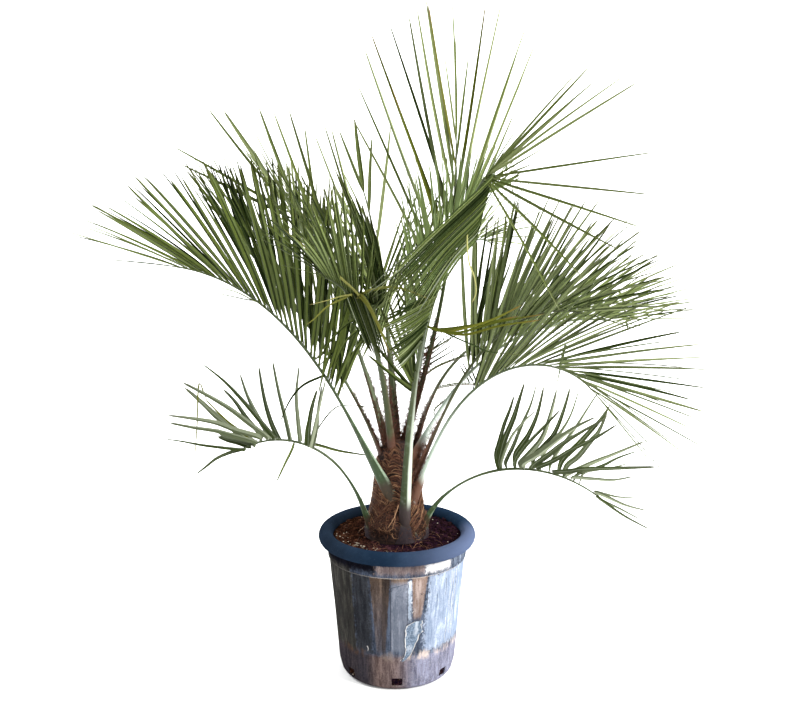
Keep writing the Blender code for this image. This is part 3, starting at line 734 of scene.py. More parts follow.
def section_size(frond, u):
    """Width and depth of the petiole or rachis."""
    if u < frond.petiole:
        width = between((BLADE_START_WIDTH, frond.sheath), (1 - max(u, 0) / frond.petiole) ** PETIOLE_TAPER)
    else:
        width = between((BLADE_START_WIDTH, TIP_WIDTH), blade_share(frond, u))
    return width, between((FOOT_DEPTH, TIP_DEPTH), max(u, 0))


def leaflet_length(frond, share):
    """Short near the petiole and at the tip, by the share of the blade."""
    if share > LAST_LEAFLETS:
        return SHORTEST * frond.leaflet
    swell = math.sin(math.pi * min(1, share / LAST_LEAFLETS) ** 0.8)
    return frond.leaflet * (SHORTEST + (1 - SHORTEST) * swell)


def leaflet_direction(frond, u, side, turn):
    share = blade_share(frond, u)
    ahead, across, upper = axes(frond, u)
    sweep = math.radians(between(frond.sweep, share ** 0.8) + turn[0])
    lift = math.radians(between(frond.lift, share) + turn[1])
    out = across * side * math.cos(lift) + upper * math.sin(lift)
    return ahead * math.cos(sweep) + out * math.sin(sweep)


# Leaflets and stems

BLADE_STATIONS = 13
# Width of a leaflet as a share of its widest, along its length
BLADE_OUTLINE = (
    (0, 0.34), (0.03, 0.46), (0.1, 0.8), (0.22, 0.98), (0.38, 1.0), (0.6, 0.88), (0.8, 0.66), (0.93, 0.46),
    (1.0, 0.3),
)
BLADE_THICKNESS = 0.0006
FOLD = math.radians(27)
# What the points of a ring say: where they lie across the leaflet, and whether they are on its lower face
BLADE_RING = ((0, 0), (0.5, 0), (1, 0), (1, 1), (0.5, 1), (0, 1))
# Share of the blade whose leaflets follow the rule, where the rest are aimed one by one
RULED_SHARE = {"frond_centre_front": 0.9, "frond_upright_back": 0.0}
# Share of the blade that carries only short leaflet bases, and the length of end leaflets as a multiple
BARE_SHARE = {
    "frond_right_big": 0.26, "frond_right_pale": 0.16, "frond_right_brown": 0.2, "frond_right_back": 0.42,
}
END_STRETCH = {"frond_left_big": 1.16, "frond_right_big": 1.1, "frond_left_mid": 1.08}
USUAL_END_STRETCH = 1.05
# Where the finer leaflets lie closer to the rachis than the solids' few
SWEEPS = {"frond_centre_front": (31, 34), "frond_right_big": (40, 20)}
LIFTS = {"frond_centre_front": (78, 62), "frond_right_big": (66, 24)}
# The height in the photograph that the finer leaflets' tips reach, by pixel: a gap lies open between the fans
SKYLINE = (
    (262, 150), (283, 153), (299, 160), (313, 186), (323, 190), (334, 165), (347, 187), (360, 205),
    (371, 232), (383, 260), (398, 260), (404, 226), (418, 198), (432, 186), (440, 196), (450, 168),
    (458, 148), (472, 142), (486, 125),
)
SKYLINE_CUTS = 16
# Share of the ruled leaflets that are bent down
BENT_SHARE = 0.015
# Where a leaflet is rooted, out from the rachis's middle and up, as shares of its width and depth there
ROOT_OUT, ROOT_UP = 0.36, 0.15
# Length of the front frond's first leaflet as a share of the rule's, and how much of it is lost by the last
FRONT_LENGTH, FRONT_FALL = 0.92, 0.5


def add_blade(shape, path, front, upper, width, chance, slot=0, shade=None):
    """A folded leaflet along a path: six points a ring, from one edge over the midrib to the other."""
    shade = chance.random() if shade is None else shade
    twist, turn = math.radians(chance.uniform(-16, 16)), math.radians(chance.uniform(-30, 30))
    rings, numbers = [], []
    last = len(path) - 1
    for k in range(last):
        along = k / last
        ahead = (path[k + 1] - path[max(k - 1, 0)]).normalized()
        flat = (front - ahead * front.dot(ahead)).normalized()
        over = ahead.cross(flat)
        turned = over.dot(upper) < 0
        over = -over if turned else over
        angle = twist + turn * along * along
        cos, sin = math.cos(angle), math.sin(angle)
        flat, over = flat * cos + over * sin, over * cos - flat * sin
        half = width / 2 * profile_at(BLADE_OUTLINE, along)
        out, up = flat * (half * math.cos(FOLD)), over * (half * math.sin(FOLD))
        thin = over * (BLADE_THICKNESS * (1 - 0.6 * along))
        place = path[k]
        under_out, under_up = out * 0.98, up - thin * 0.5
        ring = [
            place - out + up, place, place + out + up,
            place + under_out + under_up, place - thin * 1.8, place - under_out + under_up,
        ]
        row = [(shade, along, across, under) for across, under in BLADE_RING]
        rings.append(ring if turned else ring[::-1])
        numbers.append(row if turned else row[::-1])
    shape.loft(rings, numbers, slot, path[-1])


def leaflet_path(root, direction, length, droop, bow, kink=None):
    """The midrib: straight with a slight bow and sag, or turned down at a kink."""
    path = []
    for along in spread(0, 1, BLADE_STATIONS):
        sag = droop * along * along * math.hypot(direction.x, direction.y)
        path.append(root + (direction * along + bow * along * along - UP * sag) * length)
    if kink is None:
        return path
    start, fall = kink
    first = round(start * BLADE_STATIONS)
    place = path[first]
    for k in range(first + 1, len(path)):
        turned = clamp((k - first) / 2.5)
        way = (path[k] - path[k - 1]).normalized().lerp(fall, turned).normalized()
        place = place + way * (length / BLADE_STATIONS)
        path[k] = place
    return path


def below_skyline(frond, root, direction, length, margin):
    """The leaflet's length, cut so that its tip stays under the skyline, or 0 where little would be left."""
    if frond.name == "frond_centre_front":
        return length
    for cut in range(SKYLINE_CUTS):
        trimmed = length * 0.94 ** cut
        tip = pixel_of(root + direction * trimmed)
        if not SKYLINE[0][0] < tip.x < SKYLINE[-1][0] or tip.y > profile_at(SKYLINE, tip.x) + margin:
            return trimmed
    return 0


def add_leaflets(shape, frond, look, chance):
    """Leaflets on both sides of the rachis at their real spacing, then one that runs on from its end."""
    frond = frond._replace(sweep=SWEEPS.get(frond.name, frond.sweep), lift=LIFTS.get(frond.name, frond.lift))
    count = round(frond.length * (1 - frond.petiole) / look.spacing)
    stretch = (1, END_STRETCH.get(frond.name, USUAL_END_STRETCH))
    for i in range(round(2 * count * RULED_SHARE.get(frond.name, 1))):
        side = 1 if i % 2 else -1
        u = frond.petiole + (1 - frond.petiole) * (i + 0.5 + chance.uniform(-0.35, 0.35)) / (2 * count)
        share = blade_share(frond, u)
        if share < BARE_SHARE.get(frond.name, 0):
            continue
        ahead, across, upper = axes(frond, u)
        size, depth = section_size(frond, u)
        root = spine_point(frond, u) + across * side * size * ROOT_OUT + upper * depth * ROOT_UP
        turn = (chance.uniform(-2.5, 2.5), chance.uniform(-4, 4))
        direction = leaflet_direction(frond, u, side, turn)
        length = leaflet_length(frond, share) * chance.uniform(0.93, 1.06)
        length *= between(stretch, clamp((share - 0.6) / 0.4))
        if frond.name == "frond_centre_front":
            length *= FRONT_LENGTH - FRONT_FALL * share
        length = below_skyline(frond, root, direction, length, chance.uniform(-16, 7))
        if length == 0:
            continue
        bow = ahead * chance.uniform(-0.05, 0.05) + upper * chance.uniform(-0.05, 0.03)
        kink = None
        if chance.random() < BENT_SHARE:
            fall = (direction * 0.2 - UP + across * chance.uniform(-0.5, 0.5)).normalized()
            kink = (chance.uniform(0.45, 0.8), fall)
        path = leaflet_path(root, direction, length, frond.droop, bow, kink)
        width = look.width * (0.72 + 0.28 * length / frond.leaflet) * chance.uniform(0.88, 1.1)
        add_blade(shape, path, ahead, upper, width * (0.65 if share > 0.93 else 1), chance)
    ahead, across, upper = axes(frond, 1)
    path = leaflet_path(spine_point(frond, 0.995), ahead, TIP_SHARE * frond.leaflet, frond.droop, ahead * 0)
    add_blade(shape, path, across, upper, look.width * 0.6, chance)


# Leaflets of the two low fronds, read one by one from the photograph: the tip's depth behind the root, the
# width in metres, then the pixels from near the rachis to the tip
SEEN = {
    "frond_left_low": (
        (0.06, 0.0092, ((300, 440), (298, 423), (296, 394), (299, 366))),
        (0.07, 0.0102, ((291, 440), (286, 418), (279, 391), (273, 362))),
        (0.07, 0.0102, ((279, 439), (271, 421), (264, 396), (259, 367))),
        (0.07, 0.0102, ((270, 436), (259, 418), (248, 396), (241, 376))),
        (-0.08, 0.0112, ((274, 436), (259, 418), (240, 396), (223, 379), (206, 366))),
        (0.05, 0.0092, ((261, 435), (247, 418), (235, 401), (225, 391))),
        (-0.08, 0.0112, ((267, 436), (250, 423), (230, 408), (206, 394), (186, 384))),
        (0.02, 0.013, ((255, 444), (235, 430), (216, 416), (201, 402), (187, 390))),
        (-0.09, 0.0102, ((259, 437), (235, 430), (216, 423), (194, 419), (171, 416))),
        (-0.07, 0.0112, ((255, 441), (235, 435), (216, 430), (194, 427), (172, 423))),
        (0.01, 0.015, ((252, 442), (238, 437), (225, 435), (217, 430))),
        (0.02, 0.013, ((250, 446), (238, 442), (228, 440), (219, 437))),
        (-0.05, 0.0092, ((245, 449), (225, 447), (201, 444), (184, 441), (168, 439))),
        (-0.02, 0.0068, ((240, 450), (229, 453), (216, 459), (206, 467), (198, 473))),
        (-0.08, 0.0102, ((308, 445), (309, 428), (312, 408), (317, 391))),
        (-0.1, 0.0085, ((310, 446), (315, 425), (319, 406), (325, 381))),
        (-0.06, 0.0085, ((314, 445), (318, 425), (319, 406), (322, 387))),
        (-0.05, 0.0072, ((306, 444), (307, 430), (310, 416), (313, 406))),
    ),
    "frond_right_low": (
        (0.06, 0.0085, ((496, 455), (499, 443), (504, 425), (510, 409), (513, 399))),
        (-0.06, 0.0118, ((499, 460), (504, 440), (513, 418), (518, 402), (523, 386))),
        (0.08, 0.0092, ((505, 462), (513, 445), (521, 425), (530, 405), (535, 388))),
        (-0.1, 0.0055, ((502, 460), (511, 437), (522, 423), (528, 417), (534, 412))),
        (0.08, 0.0112, ((515, 455), (522, 444), (528, 435), (537, 414), (543, 389))),
        (0.08, 0.0112, ((521, 462), (528, 455), (542, 438), (550, 416), (556, 392))),
        (-0.1, 0.0092, ((515, 460), (523, 448), (532, 438), (545, 425), (558, 412))),
        (0.09, 0.0112, ((533, 457), (543, 446), (554, 433), (563, 411), (569, 391))),
        (0.09, 0.0112, ((544, 455), (554, 441), (562, 432), (572, 414), (579, 391))),
        (0.08, 0.0085, ((553, 460), (565, 443), (576, 428), (586, 412), (596, 396))),
        (-0.1, 0.0145, ((523, 464), (538, 455), (554, 443), (574, 429), (593, 419))),
        (0.08, 0.0112, ((562, 460), (578, 444), (588, 433), (599, 421), (608, 408))),
        (0.05, 0.0112, ((567, 466), (578, 457), (591, 441), (599, 431), (606, 415))),
        (-0.08, 0.013, ((533, 465), (548, 454), (562, 443), (578, 433), (603, 419))),
        (-0.1, 0.0098, ((538, 467), (554, 460), (572, 449), (596, 437), (614, 426))),
        (0.03, 0.0092, ((567, 474), (582, 467), (596, 461), (614, 454), (643, 442))),
        (0.03, 0.0062, ((578, 474), (602, 466), (618, 458), (635, 452))),
        (-0.1, 0.0098, ((554, 472), (570, 471), (584, 469), (620, 468), (654, 467))),
        (0.01, 0.0045, ((584, 473), (602, 469), (614, 467), (629, 463))),
        (-0.06, 0.0068, ((572, 477), (584, 478), (596, 479), (614, 480), (631, 477))),
        (0.04, 0.0048, ((595, 491), (606, 494), (620, 497), (637, 497))),
        (-0.02, 0.0068, ((596, 492), (608, 497), (626, 505), (645, 510))),
        (0.03, 0.0058, ((597, 496), (603, 501), (620, 509), (639, 519))),
        (-0.03, 0.0058, ((597, 497), (608, 505), (626, 517), (649, 529))),
    ),
}
# How far a leaflet's fine end goes past the last point read from the photograph, as a share of its length
TIP_REACH = 0.06
# Widths of the leaflets read from the photograph, as multiples of the tables' numbers
LOW_WIDTH = 1.5
FAN_WIDTH = {
    "frond_upright_back": 1.1, "frond_left_back": 1.6, "frond_centre_back": 1.5, "frond_centre_front": 0.85,
}


def across_view(path, chance):
    """Two vectors for a leaflet seen from the front: one across it, tilted a little, and its upper side's."""
    way = (path[-1] - path[0]).normalized()
    flat = way.cross(Vector((0, 1, 0)))
    tilt = chance.choice((-1, 1)) * chance.uniform(0.1, 0.5)
    upper = Vector((0, -0.8, 0.6)) * (1 if chance.random() < 0.8 else -1)
    if flat.length < 0.05:
        return UP, upper
    flat = flat.normalized()
    return (flat + way.cross(flat) * tilt).normalized(), upper


def seen_points(root, pixels, depth):
    """The points behind some pixels, each deeper than the root by a growing share of a depth."""
    return [seen_at(x, y, root.y + depth * (k + 1) / len(pixels)) for k, (x, y) in enumerate(pixels)]


def add_seen_leaflets(shape, frond, chance):
    places = spine_places(frond, frond.petiole * 0.9, 60)
    for depth, width, pixels in SEEN[frond.name]:
        root = nearest_place(places, pixels[0])
        points = [root, *seen_points(root, pixels, depth)]
        points[-1] += (points[-1] - points[-2]).normalized() * (points[-1] - root).length * TIP_REACH
        path = smooth_path(points, 4)
        add_blade(shape, path, *across_view(path, chance), width * LOW_WIDTH, chance)


STEM_POINTS = 14
STEM_TURNS = [math.tau * i / STEM_POINTS for i in range(STEM_POINTS)]
PETIOLE_RINGS, RACHIS_RINGS = 16, 26
# Direction of the key light: the stems' bloom is laid, as painted highlight, where their surface faces it
SUNNY = Vector((0.88, -0.25, 0.4))
# Width of the petiole as a multiple of the solids' width, where it isn't 1
STEM_WIDTH = {
    "frond_left_big": 1.25, "frond_left_mid": 1.45, "frond_left_back": 1.4, "frond_centre_left": 1.35,
    "frond_centre_back": 1.4, "frond_upright_back": 1.3, "frond_centre_front": 0.78,
    "frond_back_right_upper": 1.2, "frond_right_back": 1.3, "frond_right_pale": 2.3,
    "frond_right_big": 1.15, "frond_right_brown": 1.25,
}
# The same for its depth, where the photograph shows the broad face from the side
STEM_DEPTH = {"frond_right_pale": 2.3, "frond_right_big": 1.4, "frond_right_back": 1.3}
# How far from the foot the petiole's twist and its broad wrapping base reach, in metres
TWIST_REACH = 0.3
WRAP_REACH = 0.14
# How deep the petiole is hollowed, and how its base thickens and curls up at its edges
HOLLOW = 1.35
WRAP_DEPTH, WRAP_CURL = 0.35, 0.24
# The least width and depth of a rachis
RACHIS_END = 0.0024
# Fibres on the edges of the barest petiole for each metre, and what a frayed one adds
EDGE_FIBRES = (360, 3600)
# Where the edge lies, as a share of the width, and the margin from which fibres cover the back too
EDGE_SHARE = 0.46
FRAYED_MARGIN = 0.8


def near_foot(frond, u, reach):
    """1 at the foot and 0 from the reach on."""
    return clamp(1 - max(u, 0) * frond.length / reach)


def stem_axes(frond, u):
    """The rachis's axes, turned near the foot so that the petiole's hollow face looks at the crown."""
    ahead, side, upper = axes(frond, u)
    inward = -Vector((frond.foot[0], frond.foot[1], 0))
    first_side, first_upper = axes(frond, 0)[1:]
    angle = math.atan2(inward.dot(first_side), inward.dot(first_upper))
    angle *= near_foot(frond, u, TWIST_REACH) ** 0.8
    cos, sin = math.cos(angle), math.sin(angle)
    return ahead, side * cos - upper * sin, upper * cos + side * sin


def stem_ring(frond, u):
    """Cross-section of the petiole or rachis: hollowed above near the foot, round further out."""
    side, upper = stem_axes(frond, u)[1:]
    width, depth = (max(size, RACHIS_END) for size in section_size(frond, u))
    hollow = clamp(1.15 - u / frond.petiole)
    wrap = near_foot(frond, u, WRAP_REACH) ** 1.2
    stretch = between((1, STEM_WIDTH.get(frond.name, 1)), hollow)
    depth *= (1 + WRAP_DEPTH * wrap) * between((1, STEM_DEPTH.get(frond.name, 1)), hollow)
    centre = spine_point(frond, u)
    ring = []
    for turn in STEM_TURNS:
        x, y = math.cos(turn), math.sin(turn)
        if y > 0:
            y *= 1 - HOLLOW * hollow * y * y
        rise = WRAP_CURL * wrap * x * x * width
        ring.append(centre + side * (x * width / 2 * stretch) + upper * (y * depth / 2 + rise))
    return ring


def add_stem(shape, frond, look, slot):
    places = [-BURIED / frond.length, -0.5 * BURIED / frond.length]
    places += spread(0, frond.petiole, PETIOLE_RINGS)[:-1] + spread(frond.petiole, 1, RACHIS_RINGS)
    rings = [stem_ring(frond, u) for u in places]
    numbers = []
    for u in places:
        left = clamp(1 - u / (frond.petiole * look.margin + 0.001))
        side, upper = stem_axes(frond, u)[1:]
        row = []
        for i, turn in enumerate(STEM_TURNS):
            edge = abs(math.cos(turn)) ** 3 * left * look.margin
            # How much this side faces the key light, for the bloom laid there as painted highlight
            sunny = (side * math.cos(turn) + upper * math.sin(turn)).dot(SUNNY)
            row.append((edge, max(u, 0), i / STEM_POINTS, clamp(sunny)))
        numbers.append(row)
    shape.loft(rings, numbers, slot)


def add_margin_fibres(shape, frond, look, chance, slot):
    """Brown fibres and short spines along both edges of the petiole, dense near its foot."""
    reach = frond.petiole * (0.35 + 0.6 * look.margin)
    count = round(reach * frond.length * (EDGE_FIBRES[0] + EDGE_FIBRES[1] * look.margin))
    frayed = look.margin >= FRAYED_MARGIN
    for _ in range(count):
        u = reach * chance.random() ** 1.3
        side = chance.choice((-1, 1))
        ahead, across, upper = stem_axes(frond, u)
        width, depth = section_size(frond, u)
        off = chance.uniform(0, EDGE_SHARE) if frayed and u < 0.6 * reach else EDGE_SHARE
        root = spine_point(frond, u) + across * side * width * off + upper * depth * chance.uniform(-0.1, 0.4)
        fade = 1 - u / reach
        length = (0.006 + 0.016 * fade * look.margin) * chance.uniform(0.5, 1.5)
        way = (across * side * chance.uniform(0.1, 0.8) + ahead * chance.uniform(-0.2, 1.2)
               + upper * chance.uniform(-0.3, 0.8)).normalized()
        curl = (ahead * chance.uniform(-1, 1) + upper * chance.uniform(-1, 1)) * 0.35
        path = [root + (way * t + curl * t * t) * length for t in (0, 0.3, 0.65, 1)]
        shape.tube(path, chance.uniform(0.0004, 0.0008), chance.uniform(0.25, 0.62), slot, 3)


def build_frond(frond, materials):
    look = LOOKS[frond.name]
    chance = random.Random(f"{SEED} {frond.name}")
    names = ("leaf_" + look.leaf, "stem_" + look.stem, "fibre")
    shape = Shape("palm_" + frond.name, [materials[name] for name in names])
    if frond.name in SEEN:
        add_seen_leaflets(shape, frond, chance)
    else:
        add_leaflets(shape, frond, look, chance)
    add_stem(shape, frond, look, 1)
    add_margin_fibres(shape, frond, look, chance, 2)
    shape.finish(slot=look.slot, replaced=(frond.name,))


# Leaflets of the fans at the top, aimed by the photograph: pixels of the tip and of a lower point on the
# line of the leaflet, which grows from where that line meets the rachis, then the tip's depth behind the
# root, the width in metres and the colour
FANS = {
    "frond_upright_back": (
        ((427, 6), (451, 160), 0.02, 0.01, "light"), ((429, 9), (454, 160), -0.04, 0.0095, "olive"),
        ((452, 5), (460, 140), 0.04, 0.009, "light"), ((485, 9), (469, 144), 0.02, 0.0095, "olive"),
        ((500, 10), (476, 148), 0.05, 0.0085, "light"), ((525, 29), (484, 152), 0.02, 0.008, "light"),
        ((533, 48), (490, 152), -0.02, 0.008, "light"), ((520, 84), (490, 160), 0.06, 0.0075, "light"),
        ((512, 118), (488, 172), 0.03, 0.008, "light"), ((418, 14), (448, 170), -0.03, 0.009, "light"),
        ((410, 22), (440, 180), 0.05, 0.0095, "mid"), ((391, 28), (434, 160), 0.02, 0.009, "mid"),
        ((373, 38), (421, 166), -0.05, 0.0095, "olive"), ((367, 55), (414, 182), -0.02, 0.0095, "light"),
        ((394, 95), (420, 175), -0.06, 0.0085, "olive"), ((360, 90), (404, 190), 0.02, 0.009, "light"),
        ((356, 125), (408, 226), 0.04, 0.0085, "light"), ((445, 60), (459, 160), 0.08, 0.007, "light"),
        ((515, 60), (483, 158), 0.08, 0.007, "light"), ((468, 60), (465, 160), 0.09, 0.007, "light"),
    ),
    "frond_left_back": (
        ((211, 112), (284, 185), 0.02, 0.007, "light"), ((226, 114), (281, 183), 0.04, 0.01, "light"),
        ((261, 113), (286, 164), 0.02, 0.0085, "light"), ((275, 117), (298, 181), 0.06, 0.0085, "light"),
        ((291, 117), (312, 176), 0.02, 0.009, "light"), ((178, 149), (250, 190), 0.0, 0.006, "light"),
        ((184, 166), (254, 200), -0.04, 0.0065, "mid"), ((305, 130), (310, 164), 0.03, 0.007, "light"),
    ),
    "frond_centre_back": (
        ((316, 139), (332, 185), 0.04, 0.007, "light"), ((326, 130), (338, 181), 0.02, 0.007, "light"),
        ((333, 134), (346, 186), 0.04, 0.007, "mid"), ((340, 132), (344, 183), 0.02, 0.008, "light"),
        ((355, 122), (357, 188), 0.03, 0.01, "light"), ((390, 130), (384, 180), 0.03, 0.008, "light"),
        ((372, 140), (370, 190), 0.03, 0.008, "light"),
    ),
    "frond_centre_front": (
        ((586, 70), (500, 158), -0.1, 0.0075, "light"), ((573, 77), (498, 157), -0.06, 0.007, "light"),
        ((572, 86), (500, 159), -0.12, 0.007, "light"), ((593, 83), (504, 160), -0.08, 0.0065, "light"),
        ((571, 102), (504, 158), -0.14, 0.007, "light"), ((623, 77), (506, 160), -0.12, 0.007, "light"),
        ((633, 85), (508, 161), -0.1, 0.008, "light"), ((650, 153), (515, 168), -0.14, 0.0068, "light"),
        ((645, 194), (510, 177), -0.16, 0.0068, "light"), ((636, 226), (505, 183), -0.12, 0.0075, "light"),
        ((616, 248), (505, 188), -0.16, 0.0075, "light"), ((580, 275), (500, 192), -0.18, 0.0075, "light"),
        ((556, 304), (496, 198), -0.18, 0.007, "light"), ((540, 150), (502, 172), -0.05, 0.006, "light"),
        ((530, 165), (502, 176), -0.04, 0.006, "light"),
    ),
}
# The greatest bow of a fan's leaflet, as a share of its length
FAN_BOW = 0.01


def rachis_point_near(frond, start, end):
    """The point of the blade's rachis that lies nearest, in the picture, to the line through two pixels."""
    way = (Vector(end) - Vector(start)).normalized()
    places = spine_places(frond, frond.petiole, 50)
    offsets = [pixel_of(place) - Vector(start) for place in places]
    misses = [abs(way.x * off.y - way.y * off.x) + 0.02 * off.length for off in offsets]
    return places[misses.index(min(misses))]


def leaf_shape(name, leaves, materials):
    """A piece in several leaf colours, and the colours' names in the order of their slots."""
    names = sorted(set(leaves))
    return Shape(name, [materials["leaf_" + leaf] for leaf in names]), names


def build_fans(materials):
    shape, names = leaf_shape("top_leaflets", [row[-1] for fan in FANS.values() for row in fan], materials)
    chance = random.Random(f"{SEED} fans")
    for name, fan in FANS.items():
        for pixel, low, depth, width, leaf in fan:
            root = rachis_point_near(BY_NAME[name], low, pixel)
            tip = root.lerp(seen_at(*pixel, root.y + depth), 1 + TIP_REACH)
            bow = Vector((chance.uniform(-1, 1), chance.uniform(-1, 1), 0)) * FAN_BOW * (tip - root).length
            path = smooth_path([root, root.lerp(tip, 0.5) + bow, tip], 7)
            view = across_view(path, chance)
            add_blade(shape, path, *view, width * FAN_WIDTH[name], chance, names.index(leaf))
    shape.finish(slot="leaf_light")


# Stray leaflets that the photograph shows, by the frond that each grows from: the pixels that it passes, the
# depth at its end, its width in metres and its colour
STRAYS = {
    "frond_centre_left": (
        (((360, 296), (367, 302), (376, 318), (384, 337), (390, 353)), -0.44, 0.013, "faded"),
        (((352, 295), (340, 297), (326, 301), (309, 305)), -0.44, 0.006, "faded"),
        (((358, 294), (325, 264), (304, 246), (282, 228)), -0.42, 0.0058, "straw"),
        (((347, 297), (328, 306), (314, 319), (306, 325)), -0.44, 0.0045, "faded"),
        (((364, 293), (376, 289), (390, 287), (407, 290), (431, 300)), -0.52, 0.007, "faded"),
        (((376, 302), (358, 232), (333, 164)), -0.2, 0.0105, "dark"),
        (((377, 300), (361, 235), (337, 172)), -0.22, 0.01, "mid"),
        (((378, 298), (362, 232), (341, 178)), -0.18, 0.011, "dark"),
        (((379, 298), (366, 236), (347, 188)), -0.2, 0.011, "mid"),
        (((380, 297), (369, 240), (354, 193)), -0.22, 0.0105, "dark"),
        (((381, 296), (372, 243), (361, 201)), -0.18, 0.0105, "mid"),
        (((382, 296), (375, 247), (366, 212)), -0.22, 0.01, "dark"),
        (((383, 297), (378, 250), (370, 217)), -0.2, 0.01, "dark"),
        (((374, 304), (350, 246), (319, 181)), -0.16, 0.008, "mid"),
        (((372, 304), (345, 255), (309, 196)), -0.18, 0.0075, "dark"),
        (((384, 300), (381, 262), (375, 224)), -0.18, 0.0085, "mid"),
        (((372, 318), (350, 322), (331, 340), (320, 358)), -0.2, 0.007, "dark"),
        (((374, 328), (358, 330), (344, 344), (334, 366)), -0.16, 0.0075, "dark"),
        (((376, 334), (366, 338), (354, 352), (346, 374)), -0.12, 0.008, "dark"),
    ),
    "frond_centre_front": (
        (((411, 389), (394, 376), (366, 353)), -0.16, 0.013, "dark"),
        (((411, 386), (395, 368), (370, 338)), -0.14, 0.013, "dark"),
        (((411, 383), (397, 358), (375, 322)), -0.18, 0.013, "dark"),
        (((412, 380), (399, 350), (381, 308)), -0.16, 0.013, "dark"),
        (((412, 377), (402, 345), (388, 298)), -0.2, 0.013, "dark"),
        (((413, 374), (406, 340), (396, 286)), -0.18, 0.013, "dark"),
        (((413, 371), (409, 335), (404, 280)), -0.2, 0.013, "dark"),
        (((414, 368), (413, 330), (412, 276)), -0.22, 0.009, "mid"),
        (((478, 213), (457, 233), (423, 253), (390, 278), (367, 294)), -0.5, 0.0055, "grey"),
        (((474, 208), (452, 228), (420, 246), (388, 271), (370, 289)), -0.48, 0.005, "grey"),
        (((480, 219), (462, 236), (430, 258), (396, 284), (372, 299)), -0.52, 0.005, "grey"),
        (((470, 224), (448, 240), (417, 262), (390, 290), (376, 306)), -0.5, 0.0055, "fresh"),
        (((471, 216), (467, 236), (469, 262), (474, 276), (476, 292), (472, 303)), -0.6, 0.0038, "straw"),
        (((462, 335), (500, 326), (541, 320)), -0.3, 0.007, "olive"),
        (((455, 333), (498, 322), (545, 314)), -0.32, 0.0062, "olive"),
        (((447, 331), (488, 321), (522, 305)), -0.28, 0.0078, "olive"),
        (((440, 329), (480, 324), (519, 316)), -0.27, 0.007, "olive"),
        (((440, 330), (452, 336), (475, 346), (490, 352), (521, 355)), -0.26, 0.0045, "fresh"),
    ),
    "frond_left_low": (
        (((314, 444), (340, 451), (371, 456)), -0.05, 0.009, "dark"),
        (((253, 441), (228, 421), (207, 400), (199, 384), (197, 425), (194, 470)), -0.09, 0.006, "faded"),
        (((318, 428), (332, 410), (346, 405), (381, 408)), -0.02, 0.006, "dark"),
        (((292, 450), (284, 466), (276, 483)), -0.06, 0.008, "dark"),
    ),
    "frond_left_big": (
        (((322, 376), (303, 385), (290, 400), (279, 424)), -0.12, 0.0075, "dark"),
        (((330, 350), (324, 372), (318, 396)), -0.1, 0.009, "dark"),
        (((338, 352), (340, 374), (344, 392)), -0.08, 0.008, "dark"),
        (((254, 301), (236, 292), (212, 286)), -0.16, 0.004, "dark"),
        (((250, 300), (226, 295), (192, 288)), -0.14, 0.0036, "dark"),
    ),
    "frond_right_big": (
        (((566, 345), (562, 362), (557, 384)), -0.1, 0.0075, "mid"),
    ),
}
# Sheaves of leaflets that lie side by side in the photograph: their frond, how many, the pixel lines that
# they cross from their roots to their tips, their depth in front of the rachis, their width and colours
SHEAVES = (
    ("frond_centre_front", 30, (((490, 178), (477, 238)), ((428, 236), (454, 268)), ((370, 291), (428, 316))),
     -0.05, 0.0044, ("fresh", "dark", "light", "dark", "grey", "dark", "fresh")),
    ("frond_centre_front", 25, (((436, 290), (418, 346)), ((410, 304), (407, 362)), ((380, 318), (396, 374))),
     -0.06, 0.008, ("dark", "mid", "dark", "mid", "dark", "grey")),
    ("frond_centre_left", 13, (((367, 296), (345, 298)), ((379, 328), (357, 330)), ((391, 366), (366, 350))),
     -0.06, 0.0066, ("dark", "mid", "dark", "grey")),
)
# The share of the rachis's length from which strays and sheaves may grow
STRAY_START = 0.3

# Pale rachises with short leaflet bases behind the front petiole: the frond that each grows from, the pixels
# that it passes, its depth at the end, its radius, then how far a leaflet base's tip lies from its root and
# how far apart the bases are, in pixels
COMBS = (
    ("frond_back_right_upper", ((420, 359), (431.6, 351), (447.8, 340.7), (459.3, 334), (469, 332)),
     0.17, 0.0013, (-1.5, -7), 3.2),
    ("frond_back_right_upper",
     ((419, 380), (426.8, 374.2), (438.3, 366.6), (457.4, 358.9), (474.6, 354.1), (500.5, 349.3)),
     0.16, 0.002, (-1.5, -7), 3.4),
    ("frond_right_back", ((437, 388.4), (447.8, 386.2), (460, 384.6), (473.7, 384.7), (484, 383.8)),
     0.12, 0.0024, (-1, -6), 3.6),
    ("frond_right_pale", ((430, 416), (435, 410), (441, 404), (448, 398), (456, 391)),
     0.05, 0.0012, (-4.5, -8), 3.0),
)
# Dark leaflet bases that cross them: three pixels each, with the depth at each of the three
STRIPES = (
    ((419, 352), (430, 345), (443, 331)), ((419, 357), (432, 349), (448, 335)),
    ((418.5, 362), (432, 353), (451, 339)), ((418.5, 366), (432, 358), (455, 343)),
    ((418.5, 371), (433, 362), (458, 348)), ((473, 382), (468, 373), (462, 362)),
    ((470, 383), (465, 374), (459, 364)), ((476, 381), (472, 370), (467, 358)),
)
STRIPE_DEPTHS = (0.09, 0.11, 0.13)
STRIPE_WIDTH = 0.0056
RIDGE_WIDTH = 0.004
DARK_SHADE = 0.1


